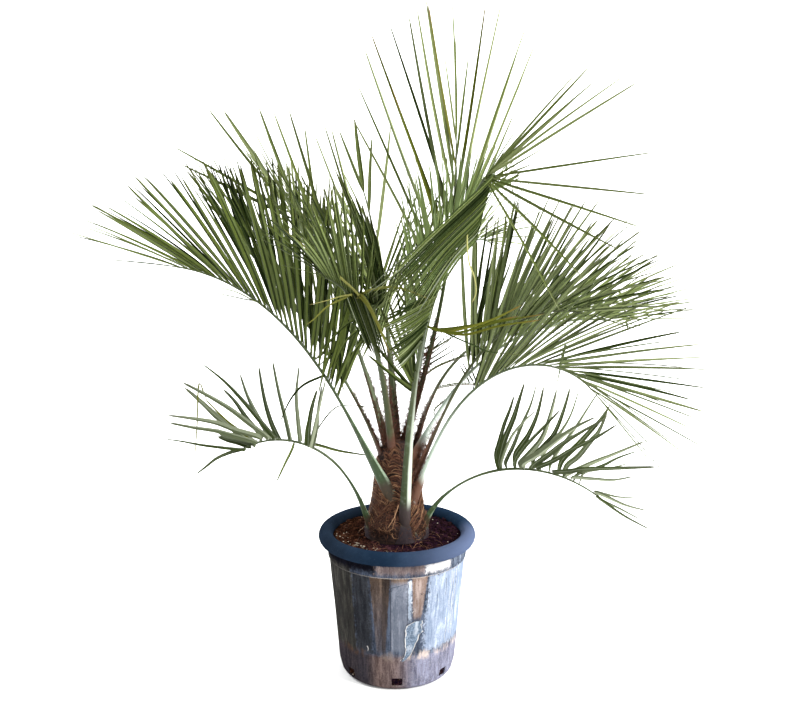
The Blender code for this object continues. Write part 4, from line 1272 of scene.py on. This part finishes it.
def add_teeth(shape, path, tooth, spacing, chance):
    """Short leaflet bases along a rachis, evenly spaced in the picture."""
    seen = [pixel_of(place) for place in path]
    walked = 0
    for k in range(1, len(path) - 1):
        walked += (seen[k] - seen[k - 1]).length
        while walked > spacing:
            walked -= spacing
            off = Vector(tooth) * chance.uniform(0.9, 1.4)
            tip = seen_at(seen[k].x + off.x, seen[k].y + off.y, path[k].y + 0.015)
            middle = path[k].lerp(tip, 0.5) + Vector((chance.uniform(-0.001, 0.001), 0, 0))
            base = smooth_path([path[k], middle, tip], 3)
            shape.tube(base, chance.uniform(0.0012, 0.0016), 0.3, 1, 4, 0.6)


def build_combs(materials):
    shape = Shape("pale_rachises", [materials["stem_pale"], materials["leaf_dark"]])
    chance = random.Random(f"{SEED} combs")
    for name, pixels, depth, radius, tooth, spacing in COMBS:
        root = nearest_place(spine_places(BY_NAME[name], 0.15, 80), pixels[0])
        path = smooth_path([root, *seen_points(root, pixels, depth - root.y)[1:]], 5)
        shape.tube(path, radius, 0.5, 0, 6, 0.6)
        add_teeth(shape, path, tooth, spacing, chance)
        ridge = [place + Vector((0, 0.001, 0)) + UP * (radius * 1.5) for place in path]
        add_blade(shape, ridge, UP, UP.cross(path[-1] - path[0]), RIDGE_WIDTH, chance, 1, DARK_SHADE)
    for stripe in STRIPES:
        path = smooth_path([seen_at(*pixel, depth) for pixel, depth in zip(stripe, STRIPE_DEPTHS)], 6)
        add_blade(shape, path, *across_view(path, chance), STRIPE_WIDTH, chance, 1, DARK_SHADE)
    shape.finish(slot="leaf_pale")


def build_strays(materials):
    leaves = [row[-1] for rows in STRAYS.values() for row in rows]
    leaves += [leaf for sheaf in SHEAVES for leaf in sheaf[-1]]
    shape, names = leaf_shape("stray_leaflets", leaves, materials)
    chance = random.Random(f"{SEED} strays")
    for name, rows in STRAYS.items():
        places = spine_places(BY_NAME[name], STRAY_START, 60)
        for pixels, depth, width, leaf in rows:
            root = nearest_place(places, pixels[0])
            path = smooth_path([root, *seen_points(root, pixels, depth - root.y)], 6)
            add_blade(shape, path, *across_view(path, chance), width, chance, names.index(leaf))
    for name, count, lines, depth, width, leaves in SHEAVES:
        places = spine_places(BY_NAME[name], STRAY_START, 60)
        for k in range(count):
            share = (k + chance.uniform(0.2, 0.8)) / count
            seen = [Vector(a).lerp(Vector(b), share) for a, b in lines]
            seen[-1] += (seen[-1] - seen[-2]) * chance.uniform(-0.25, 0.15)
            root = nearest_place(places, seen[0])
            path = smooth_path([root, *seen_points(root, seen, depth)], 6)
            view = across_view(path, chance)
            slot = names.index(leaves[k % len(leaves)])
            add_blade(shape, path, *view, width * chance.uniform(0.75, 1.25), chance, slot)
    shape.finish(slot="leaf_mid")


# Pot

def arc(centre, radius, start, end, steps):
    turns = [polar(radius, math.radians(degrees)) for degrees in spread(start, end, steps)]
    return [(centre[0] + x, centre[1] + y) for x, y in turns]


def pot_profile():
    """Radii and heights from the middle of the underside, up the wall, over the rim and down inside."""
    centre = (RIM_RADIUS - ROLL_RADIUS, RIM_CENTRE_Z)
    outside = [(0, 0), (0.06, 0), (BASE_RADIUS - 0.004, 0), (BASE_RADIUS, 0.0006)]
    outside += arc((BASE_RADIUS + 0.002, 0.0145), 0.0145, -70, -18, 5)
    for (low_radius, low), (high_radius, high) in zip(BODY, BODY[1:]):
        steps = max(2, round((high - low) / WALL_STEP))
        rows = list(zip(spread(low_radius, high_radius, steps), spread(low, high, steps)))
        outside += rows if low_radius == BODY[0][0] else rows[1:]
    outside += [(BODY[-1][0] + 0.0008, BODY[-1][1] + 0.003), (COLLAR_RADIUS - 0.0008, COLLAR_Z - 0.001)]
    outside += [(COLLAR_RADIUS, COLLAR_Z + 0.0006), (COLLAR_RADIUS + 0.0006, 0.326)]
    groove = arc(centre, ROLL_RADIUS - POT_WALL, 252, -28, 14)
    roll = arc(centre, ROLL_RADIUS, -38, 168, 26)
    inside = [(RIM_RADIUS - 2 * ROLL_RADIUS, RIM_CENTRE_Z)]
    inside += [(COLLAR_RADIUS - POT_WALL, RIM_CENTRE_Z - ROLL_RADIUS)]
    inside += [(radius - POT_WALL, height) for radius, height in reversed(BODY[1:])]
    inside += [(BODY[0][0] - POT_WALL, BODY[0][1] + POT_WALL), (BASE_RADIUS, POT_WALL), (0, POT_WALL)]
    return [point for point in outside if point[1] >= 0] + groove + roll + inside


def pot_dent(angle, height):
    """Slight waves in the thin wall, none at its foot and rim."""
    fade = math.sin(math.pi * clamp(height / 0.31))
    return 0.0011 * fade * noise.noise(Vector((*polar(2.2, angle), height * 9)))


def lathe(shape, profile, sides, dent=None, level=None):
    """Faces turned around the pot's axis. The dent changes a ring's radius and the level its height."""
    rings = []
    for radius, height in profile:
        if radius == 0:
            rings.append(shape.add_points([(0, 0, height)]))
            continue
        places = []
        for i in range(sides):
            angle = math.tau * i / sides
            x, y = polar(radius + dent(angle, height) if dent else radius, angle)
            places.append((x, y, level(x, y, height) if level else height))
        rings.append(shape.add_points(places))
    for low, high in zip(rings, rings[1:]):
        if len(low) == 1:
            shape.fan(high[::-1], low[0])
        elif len(high) == 1:
            shape.fan(low, high[0])
        else:
            shape.bridge(low, high)


def cut_drain_holes(pot):
    """Cut the square holes near the base, with rounded corners."""
    bm = bmesh.new()
    for i in range(DRAIN_HOLES):
        turn = math.radians(270 + 360 * i / DRAIN_HOLES)
        made = bmesh.ops.create_cube(bm, size=1)
        for vert in made["verts"]:
            out = CUTTER_RADIUS + vert.co.x * CUTTER_LENGTH
            across, up = vert.co.y * DRAIN_WIDTH, DRAIN_Z + vert.co.z * DRAIN_HEIGHT
            vert.co = (out * math.cos(turn) - across * math.sin(turn),
                       out * math.sin(turn) + across * math.cos(turn), up)
    edges = [e for e in bm.edges if abs(e.verts[0].co.xy.length - e.verts[1].co.xy.length) > 0.03]
    bmesh.ops.bevel(bm, geom=edges, offset=0.003, segments=3, affect="EDGES", profile=0.5)
    mesh = bpy.data.meshes.new("drain_cutter")
    bm.to_mesh(mesh)
    bm.free()
    cutter = link("drain_cutter", mesh)
    boolean = pot.modifiers.new("drain_holes", "BOOLEAN")
    boolean.operation = "DIFFERENCE"
    boolean.object = cutter
    graph = bpy.context.evaluated_depsgraph_get()
    cut = bpy.data.meshes.new_from_object(pot.evaluated_get(graph))
    pot.modifiers.clear()
    pot.data = cut
    cut.set_sharp_from_angle(angle=math.radians(40))
    bpy.data.objects.remove(cutter)


def on_wall(azimuth, height, lift=0.0):
    """A point on the pot's wall, by degrees from the front towards the right."""
    return Vector((*polar(profile_at(WALL_RADII, height) + lift, math.radians(azimuth - 90)), height))


def build_pot(materials):
    shape = Shape("nursery_pot", [materials["pot"]])
    lathe(shape, pot_profile(), POT_SIDES, pot_dent)
    pot = shape.finish(30, "pot", ("pot",))
    cut_drain_holes(pot)


# The tear in the dried film: azimuth, half width and height down its length
TEAR = (
    (19.0, 3.2, 0.191), (15.5, 6.6, 0.181), (14.5, 7.6, 0.162), (12.5, 5.4, 0.139), (11.5, 3.6, 0.118),
    (9.5, 2.4, 0.1), (5.0, 0.8, 0.084),
)
TEAR_POINTS = 12
# Raised wrinkles and cracks: places as azimuth and height, radius in metres
WRINKLES = (
    (((52, 0.3), (53, 0.262), (51, 0.225), (53, 0.19), (52, 0.16)), 0.0006),
    (((55, 0.296), (56, 0.25), (55, 0.215), (57, 0.17), (55, 0.13)), 0.0008),
    (((59, 0.302), (60, 0.255), (58, 0.205), (60, 0.16), (59, 0.12)), 0.0007),
    (((48, 0.18), (50, 0.15), (49, 0.125), (51, 0.108)), 0.0006),
    (((21, 0.19), (22.5, 0.176), (22, 0.16), (20, 0.15)), 0.0005),
    (((3, 0.086), (6, 0.094), (9, 0.1), (10, 0.108)), 0.0006),
    (((-28, 0.118), (-27, 0.112), (-27.5, 0.104)), 0.0008),
    (((13, 0.215), (15, 0.222), (14, 0.235)), 0.0005),
)
CRACKS = (
    (((-7, 0.268), (-5, 0.28), (-3, 0.285), (1, 0.288), (4, 0.291), (8, 0.295)), 0.0007),
    (((-6, 0.274), (-4, 0.276), (-3, 0.284)), 0.0006),
    (((0, 0.262), (3, 0.26), (6, 0.259)), 0.0004),
    (((20, 0.266), (21, 0.262), (22, 0.265)), 0.0009),
    (((36, 0.255), (37, 0.235), (36.5, 0.215)), 0.0004),
    (((45, 0.29), (46, 0.262), (45, 0.24)), 0.0005),
)


def build_film(materials):
    """The tear, its curled edge and the wrinkles and cracks around it, close on the wall."""
    shape = Shape("dried_film", [materials["film"], materials["crack"]])
    shares = spread(-1, 1, TEAR_POINTS)
    numbers = [(s ** 6, 0, 0, 0) for s in shares]
    lifts = [0.0006 + 0.0018 * s ** 6 for s in shares]
    rings = []
    for azimuth, half, height in smooth_path([Vector(row) for row in TEAR], 3):
        left = half * (1 + 0.45 * noise.noise(Vector((height * 150, 2, 5))))
        right = half * (1 + 0.45 * noise.noise(Vector((height * 170, 7, 1))))
        turns = [azimuth + (right if s > 0 else left) * s for s in shares]
        front = shape.add_points([on_wall(turn, height, lift) for turn, lift in zip(turns, lifts)], numbers)
        back = shape.add_points([on_wall(turn, height, -0.0012) for turn in turns], numbers)
        rings.append(front + back[::-1])
    for high, low in zip(rings, rings[1:]):
        shape.bridge(low, high)
    shape.add_face(rings[0])
    shape.add_face(rings[-1][::-1])
    for slot, lines in enumerate((WRINKLES, CRACKS)):
        for places, radius in lines:
            path = smooth_path([on_wall(azimuth, height, radius * 0.3) for azimuth, height in places], 5)
            shape.tube(path, radius, 1.0, slot, 5, 0.4)
    shape.finish(50, "pot")


# Soil

# Its gap to the pot, its points around, the rings of its top and the radius of the crown's hole
SOIL_GAP = 0.0003
SOIL_POINTS = 150
SOIL_RINGS = 26
CROWN_HOLE = 0.08


def soil_height(x, y):
    bumps = noise.noise(Vector((x, y, 0)) * 38) * 0.003 + noise.noise(Vector((x, y, 4)) * 110) * 0.0014
    return SOIL_Z + bumps


def soil_level(x, y, height):
    return soil_height(x, y) if height == SOIL_Z else height


def build_soil(materials):
    """The whole filling, down to the pot's floor, with a hole for the crown and a rough top."""
    shape = Shape("potting_mix", [materials["soil"]])
    outer = RIM_RADIUS - 2 * ROLL_RADIUS - 0.001
    wall = POT_WALL + SOIL_GAP
    profile = [(0, wall), (BASE_RADIUS, wall), (BODY[0][0] - wall, BODY[0][1] + wall)]
    profile += [(radius - wall, height) for radius, height in BODY[1:]]
    profile += [(COLLAR_RADIUS - wall, RIM_CENTRE_Z - ROLL_RADIUS)]
    profile += [(radius, SOIL_Z) for radius in spread(outer, CROWN_HOLE, SOIL_RINGS)]
    profile += [CROWN[1], CROWN[0], (0, CROWN[0][1])]
    lathe(shape, profile, SOIL_POINTS, level=soil_level)
    shape.finish(60, "soil", ("soil",))


# How many grains lie on the soil, how many pale ones at its edge and how many in each drain hole
CRUMBS, PALE_GRAINS, DRAIN_CRUMBS = 3800, 90, 34
CRUMB_RADII, PALE_RADII = (0.085, 0.16), (0.12, 0.158)
# Share of small crumbs, and the sizes of small, large, pale and drained ones
SMALL_SHARE = 0.93
SMALL, LARGE, PALE, DRAINED = (0.0008, 0.0026), (0.003, 0.006), (0.001, 0.0022), (0.001, 0.0028)
CRUMB_FACES = ((0, 1, 3, 2), (4, 6, 7, 5), (0, 4, 5, 1), (2, 3, 7, 6), (0, 2, 6, 4), (1, 5, 7, 3))


def add_crumb(shape, centre, size, shade, chance, flat=0.7):
    """A rough grain: a cube's corners pushed about."""
    spin = Matrix.Rotation(chance.uniform(0, math.tau), 3, "Z")
    spin = spin @ Matrix.Rotation(chance.uniform(-0.6, 0.6), 3, "X")
    corners = []
    for x, y, z in product((-1, 1), repeat=3):
        corner = (x * chance.uniform(0.4, 1), y * chance.uniform(0.4, 1), z * flat * chance.uniform(0.5, 1))
        corners.append(centre + spin @ Vector(corner) * size)
    made = shape.add_points(corners, [(shade, 0, 0, 0)] * 8)
    for face in CRUMB_FACES:
        shape.add_face([made[i] for i in face])


def build_grains(materials):
    chance = random.Random(f"{SEED} grains")
    shape = Shape("soil_grains", [materials["grains"]])
    for i in range(CRUMBS):
        radius = math.sqrt(chance.uniform(*(reach ** 2 for reach in CRUMB_RADII)))
        x, y = polar(radius, chance.uniform(0, math.tau))
        size = chance.uniform(*(SMALL if chance.random() < SMALL_SHARE else LARGE))
        shade = chance.random() * 0.5 + (0.25 if x < 0 else 0.05)
        add_crumb(shape, Vector((x, y, soil_height(x, y) + size * 0.2)), size, shade, chance)
    for i in range(PALE_GRAINS):
        turn = math.radians(chance.gauss(225, 24) if i % 4 else chance.uniform(0, 360))
        x, y = polar(chance.uniform(*PALE_RADII), turn)
        size = chance.uniform(*PALE)
        add_crumb(shape, Vector((x, y, soil_height(x, y) + size * 0.5)), size, 1.0, chance, 0.9)
    for i in range(DRAIN_HOLES):
        for _ in range(DRAIN_CRUMBS):
            azimuth = 360 * i / DRAIN_HOLES + chance.uniform(-4.5, 4.5)
            height = DRAIN_Z + chance.uniform(-0.45, 0.45) * DRAIN_HEIGHT
            spot = on_wall(azimuth, height, chance.uniform(-0.006, -0.003))
            add_crumb(shape, spot, chance.uniform(*DRAINED), chance.random() ** 2 * 0.95, chance, 0.9)
    shape.finish(30, "soil")


# Crown

CORE_SIDES, CORE_RINGS = 120, 70
CORE_FOOT, CORE_TOP = 0.34, 0.6
# The least height of a fibre, just over the soil
FIBRE_FOOT = 0.362


def crown_radius(angle, height):
    """The crown's surface, with its boots, as in the solids but smooth."""
    radius = profile_at(CROWN_RADII, height)
    fade = clamp((height - 0.375) / 0.02)
    for azimuth, level, amount, spread_around, rise in BOOTS:
        turn = (math.degrees(angle) - azimuth + 180) % 360 - 180
        radius += fade * amount * math.exp(-((turn / spread_around) ** 2) - ((height - level) / rise) ** 2)
    return radius


def on_crown(angle, height, lift=0.0):
    return Vector((*polar(crown_radius(angle, height) + lift, angle), height))


def build_crown(materials):
    shape = Shape("crown_core", [materials["core"]])
    rings = []
    for height in spread(CORE_FOOT, CORE_TOP, CORE_RINGS):
        places = []
        for i in range(CORE_SIDES):
            angle = math.tau * i / CORE_SIDES
            rough = noise.noise(Vector((*polar(9, angle), height * 130))) * 0.0022
            places.append(on_crown(angle, height, rough - 0.0012))
        rings.append(shape.add_points(places))
    bottom, top = shape.add_points([(0, 0, CORE_FOOT - 0.002), (0, 0, CORE_TOP + 0.004)])
    for low, high in zip(rings, rings[1:]):
        shape.bridge(low, high)
    shape.fan(rings[0][::-1], bottom)
    shape.fan(rings[-1], top)
    shape.finish(60, "crown", ("crown",))


# Bands of woven fibre on the crown: azimuth, half width in degrees, lowest and highest place, arch and
# slope in metres
Weave = namedtuple("Weave", "azimuth half low high arch slope")
WEAVES = (
    Weave(263, 21, 0.44, 0.606, 0.011, 0.001),
    Weave(236, 16, 0.455, 0.585, 0.006, -0.006),
    Weave(312, 17, 0.405, 0.56, 0.006, 0.011),
    Weave(340, 18, 0.398, 0.53, 0.008, 0.009),
    Weave(12, 24, 0.395, 0.57, 0.012, 0.004),
    Weave(50, 26, 0.385, 0.59, 0.014, -0.006),
    Weave(95, 26, 0.39, 0.59, 0.012, 0.006),
    Weave(135, 26, 0.385, 0.59, 0.014, -0.004),
    Weave(172, 26, 0.385, 0.56, 0.012, 0.006),
    Weave(208, 20, 0.395, 0.56, 0.01, -0.004),
)
WEAVE_PITCH = 0.0082
# Pale strands of a row, then dark strands in the gap under it: dark fibre that also stands as painted shade
# there
PALE_STRANDS = 6
DARK_STRANDS = 5
# Mats of tangled fibre: azimuth, half width in degrees, lowest and highest place, number of strands
MATS = ((242, 26, 0.382, 0.462, 330), (305, 30, 0.375, 0.42, 150), (0, 180, 0.375, 0.6, 420))
# Loose hairs: how many, lowest and highest place
HAIRS = (420, 0.375, 0.6)


def add_weave(shape, weave, chance):
    """Rows of braided fibre, each a sheaf of pale strands with dark ones in the gap under it, partly painted
    shade.
    """
    rows = round((weave.high - weave.low) / WEAVE_PITCH)
    for k in range(rows):
        row = weave.low + (weave.high - weave.low) * (k + 0.5) / rows + chance.uniform(-0.0012, 0.0012)
        shift = chance.uniform(-4.5, 4.5)
        for strand in range(PALE_STRANDS + DARK_STRANDS):
            pale = strand < PALE_STRANDS
            level = row + chance.gauss(0, 0.0013) if pale else row + chance.uniform(-0.5, 0.5) * WEAVE_PITCH
            half = weave.half * chance.uniform(0.45, 1.15)
            arch = weave.arch * chance.uniform(0.5, 1.35)
            slope = weave.slope + (chance.uniform(-0.004, 0.004) if pale else chance.uniform(-0.008, 0.008))
            lift = chance.uniform(0.0016, 0.0038) if pale else chance.uniform(0.0003, 0.0014)
            path = []
            for t in spread(-1, 1, 6):
                angle = math.radians(weave.azimuth + shift + half * t)
                height = level + arch * (0.5 - t * t) + slope * t
                path.append(on_crown(angle, max(height, FIBRE_FOOT), lift * (1.3 - t * t)))
            shade = clamp(chance.gauss(0.6, 0.2), 0.2, 0.98) if pale else chance.uniform(0.05, 0.35)
            size = chance.uniform(0.0005, 0.001) if pale else chance.uniform(0.0004, 0.0008)
            shape.tube(path, size, shade, 0, 4 if pale else 3, 0.6)


def add_mat(shape, azimuth, half, low, high, count, chance):
    """Tangled strands that wander over the crown's surface."""
    for _ in range(count):
        angle, height = azimuth + half * chance.uniform(-1, 1), chance.uniform(low, high)
        turn = chance.uniform(0, math.tau)
        bend = chance.uniform(-1.6, 1.6)
        length = chance.uniform(0.01, 0.03)
        lift = chance.uniform(0.0004, 0.003)
        path = []
        for i in range(7):
            rise = lift + 0.0012 * math.sin(i * 1.3 + turn)
            path.append(on_crown(math.radians(angle), max(height, FIBRE_FOOT), rise))
            radius = crown_radius(math.radians(angle), height)
            angle += math.degrees(math.cos(turn) * length / 6 / radius)
            height += math.sin(turn) * length / 6
            turn += bend / 3
        size = chance.uniform(0.0003, 0.0008)
        shape.tube(path, size, clamp(chance.gauss(0.42, 0.2), 0.03, 0.95), 0, 3, 0.6)


def add_hairs(shape, count, low, high, chance):
    """Loose hairs that stand off the crown."""
    for _ in range(count):
        angle, height = chance.uniform(0, math.tau), chance.uniform(low, high)
        root = on_crown(angle, height)
        out = Vector((*polar(1, angle), 0))
        side = Vector((-out.y, out.x, 0))
        length = chance.uniform(0.008, 0.026)
        way = out * chance.uniform(0.3, 1) + UP * chance.uniform(-0.5, 1) + side * chance.uniform(-0.8, 0.8)
        curl = (side * chance.uniform(-1, 1) - UP * chance.uniform(-0.3, 0.8)) * 0.6
        path = [root + (way * t + curl * t * t) * length for t in spread(0, 1, 4)]
        shape.tube(path, chance.uniform(0.0002, 0.0005), chance.uniform(0.1, 0.8), 0, 3)


def build_fibres(materials):
    chance = random.Random(f"{SEED} fibres")
    shape = Shape("crown_fibres", [materials["fibre"]])
    for weave in WEAVES:
        add_weave(shape, weave, chance)
    for mat in MATS:
        add_mat(shape, *mat, chance)
    add_hairs(shape, *HAIRS, chance)
    shape.finish(60, "crown")


# Scales of old leaf bases, from the soil up to a petiole: azimuth and half width in degrees and height at
# the bottom, the same at the top, thickness in metres
Sheath = namedtuple("Sheath", "bottom top thick")
SHEATHS = (
    Sheath((286, 20, 0.362), (286, 8, 0.424), 0.0065),
    Sheath((203, 13, 0.362), (199, 5, 0.392), 0.005),
    Sheath((337, 13, 0.362), (341, 5, 0.392), 0.005),
    Sheath((312, 10, 0.362), (304, 2, 0.386), 0.003),
    Sheath((28, 22, 0.362), (30, 8, 0.415), 0.006),
    Sheath((78, 24, 0.362), (80, 8, 0.43), 0.0065),
    Sheath((122, 20, 0.362), (118, 8, 0.415), 0.006),
    Sheath((160, 20, 0.362), (164, 8, 0.425), 0.0065),
)
SHEATH_STEPS = 9
SHEATH_POINTS = 8


def build_sheaths(materials):
    """Each scale is a shell on the crown, thin at its edges and drawn in towards its top."""
    shape = Shape("leaf_bases", [materials["sheath"]])
    for sheath in SHEATHS:
        (low_azimuth, low_half, low), (azimuth, half, high) = sheath.bottom, sheath.top
        rings, numbers = [], []
        for t in spread(0, 1, SHEATH_STEPS):
            middle, width = between((low_azimuth, azimuth), t), between((low_half, half), t ** 0.6)
            height = between((low, high), t)
            front, back, row = [], [], []
            for s in spread(-1, 1, SHEATH_POINTS):
                angle = math.radians(middle + width * s)
                ragged = 0.75 + 0.5 * noise.noise(Vector((angle * 9, height * 60, 3)))
                front.append(on_crown(angle, height, sheath.thick * (1 - s * s * 0.9) * ragged))
                back.append(on_crown(angle, height, -0.003))
                row.append((0.5, t, (1 + s) / 2, 0))
            rings.append(front + back[::-1])
            numbers.append(row + row[::-1])
        shape.loft(rings, numbers)
    shape.finish(50, "crown")


# Dry roots and sheath scraps on the soil

# Roots and strands that the photograph shows on the soil, by the pixels that they pass, radius and shade
Twig = namedtuple("Twig", "pixels radius shade")
TWIGS = (
    Twig(((359, 531), (364, 527), (369, 522)), 0.0011, 0.8),
    Twig(((361, 534), (370, 531), (379, 533)), 0.0009, 0.62),
    Twig(((378, 533), (385, 530), (393, 534)), 0.001, 0.85),
    Twig(((381, 529), (384, 533), (388, 538)), 0.0009, 0.8),
    Twig(((394, 532), (401, 531), (406, 529), (413, 525)), 0.0011, 0.9),
    Twig(((406, 529), (410, 531), (416, 532)), 0.0008, 0.75),
    Twig(((398, 535), (404, 533), (409, 534)), 0.0007, 0.7),
    Twig(((413, 525), (417, 522), (421, 519)), 0.0019, 0.6),
    Twig(((424, 536), (431, 534), (438, 536)), 0.0008, 0.45),
)
# Strands that come down from the crown to the soil: start and end pixels with their depths, then the shade
FALLING = (
    ((398.5, 505), -0.088, (388, 528), -0.118, 0.95), ((419, 521), -0.092, (427, 510), -0.078, 0.66),
    ((395, 510), -0.086, (392, 530), -0.12, 0.75), ((423, 513), -0.082, (415, 530), -0.115, 0.6),
)
SCRAPS = 60
# The widest place for a scrap, just inside the pot
SCRAP_REACH = 0.158


def seen_on_soil(x, y, lift):
    """The point of the soil's surface behind a pixel of the photograph."""
    ray = seen_at(x, y, 0) - CAMERA
    return CAMERA + ray * ((SOIL_Z + lift - CAMERA.z) / ray.z)


def scrap_path(chance):
    """A bent strand somewhere on the soil, more often at the front."""
    turn = math.radians(chance.gauss(270, 50))
    place = Vector((*polar(chance.uniform(0.088, 0.15), turn), 0))
    way = Vector((chance.uniform(-1, 1), chance.uniform(-0.6, 0.6), 0)).normalized()
    bend = Vector((-way.y, way.x, 0)) * chance.uniform(-0.5, 0.5)
    length = chance.uniform(0.015, 0.055)
    path = []
    for t in spread(0, 1, 7):
        spot = place + (way * t + bend * t * t) * length
        spot *= min(1, SCRAP_REACH / spot.xy.length)
        hump = 0.004 * math.sin(math.pi * t) * chance.uniform(0.4, 1)
        path.append(Vector((spot.x, spot.y, soil_height(spot.x, spot.y) + 0.0008 + hump)))
    return path


def build_scraps(materials):
    chance = random.Random(f"{SEED} scraps")
    shape = Shape("dry_scraps", [materials["fibre"]])
    for twig in TWIGS:
        points = [seen_on_soil(x, y, 0.003) for x, y in twig.pixels]
        shape.tube(smooth_path(points, 5), twig.radius, twig.shade, 0, 5, 0.6)
    for start, start_depth, end, end_depth, shade in FALLING:
        high, low = seen_at(*start, start_depth), seen_at(*end, end_depth)
        path = smooth_path([high, high.lerp(low, 0.5) + Vector((0.003, -0.004, 0)), low], 6)
        shape.tube(path, 0.0009, shade, 0, 5, 0.5)
    for _ in range(SCRAPS):
        path = scrap_path(chance)
        shape.tube(path, chance.uniform(0.0004, 0.0009), chance.uniform(0.2, 0.75), 0, 4, 0.5)
    shape.finish(60, "crown")


# Stage and light

FLOOR_FRONT, FLOOR_BACK = -9, 5
SWEEP_RADIUS = 3
BACKDROP_TOP = 9
STAGE_HALF = 12


def build_stage(materials):
    """A pale floor that curves up into a backdrop."""
    sweep = arc((FLOOR_BACK, SWEEP_RADIUS), SWEEP_RADIUS, -90, 0, 12)
    outline = [(FLOOR_FRONT, 0), *sweep, (FLOOR_BACK + SWEEP_RADIUS, BACKDROP_TOP)]
    points = [(x, y, z) for y, z in outline for x in (-STAGE_HALF, STAGE_HALF)]
    faces = [(2 * i, 2 * i + 1, 2 * i + 3, 2 * i + 2) for i in range(len(outline) - 1)]
    mesh = bpy.data.meshes.new("floor_sweep")
    mesh.from_pydata(points, [], faces)
    mesh.materials.append(materials["floor"])
    mesh.shade_smooth()
    floor = link("floor_sweep", mesh)


def add_light(name, place, target, size, power, colour=(1, 1, 1)):
    data = bpy.data.lights.new(name, "AREA")
    data.shape = "DISK"
    data.size = size
    data.energy = power
    data.color = colour
    light = link(name, data)
    light.location = place
    light.rotation_euler = (Vector(target) - Vector(place)).to_track_quat("-Z", "Y").to_euler()


def build_light():
    world = bpy.data.worlds.new("studio")
    world.use_nodes = True
    background = world.node_tree.nodes["Background"]
    background.inputs["Color"].default_value = (0.97, 0.98, 1.0, 1)
    background.inputs["Strength"].default_value = 0.7
    bpy.context.scene.world = world
    add_light("key", (3.0, -1.9, 2.8), (0, 0, 0.6), 1.2, 260, (1.0, 0.99, 0.97))
    add_light("fill", (-2.6, -3.0, 2.4), (0, 0, 0.7), 2.4, 25, (0.97, 0.99, 1.0))
    add_light("backdrop_left", (-4.5, 1.8, 4.5), (-1.5, 7.5, 1.5), 3.0, 900)
    add_light("backdrop_right", (4.5, 1.8, 4.5), (1.5, 7.5, 1.5), 3.0, 900)
    bpy.context.scene.view_settings.view_transform = "Standard"


def make_materials():
    return {
        **{"leaf_" + name: leaf_material(name) for name in LEAVES},
        **{"stem_" + name: stem_material(name) for name in STEMS},
        "fibre": fibre_material(),
        "core": core_material(),
        "film": film_material(),
        "crack": crack_material(),
        "sheath": sheath_material(),
        "soil": soil_material(),
        "grains": grain_material(),
        "pot": pot_material(),
        "floor": floor_material(),
    }


def build_all():
    build_camera()
    materials = make_materials()
    for build in (build_pot, build_film, build_soil, build_grains, build_crown, build_fibres, build_sheaths,
                  build_scraps):
        build(materials)
    for frond in FRONDS:
        build_frond(frond, materials)
    for build in (build_fans, build_combs, build_strays, build_stage):
        build(materials)
    build_light()


build_all()
bpy.context.view_layer.update()
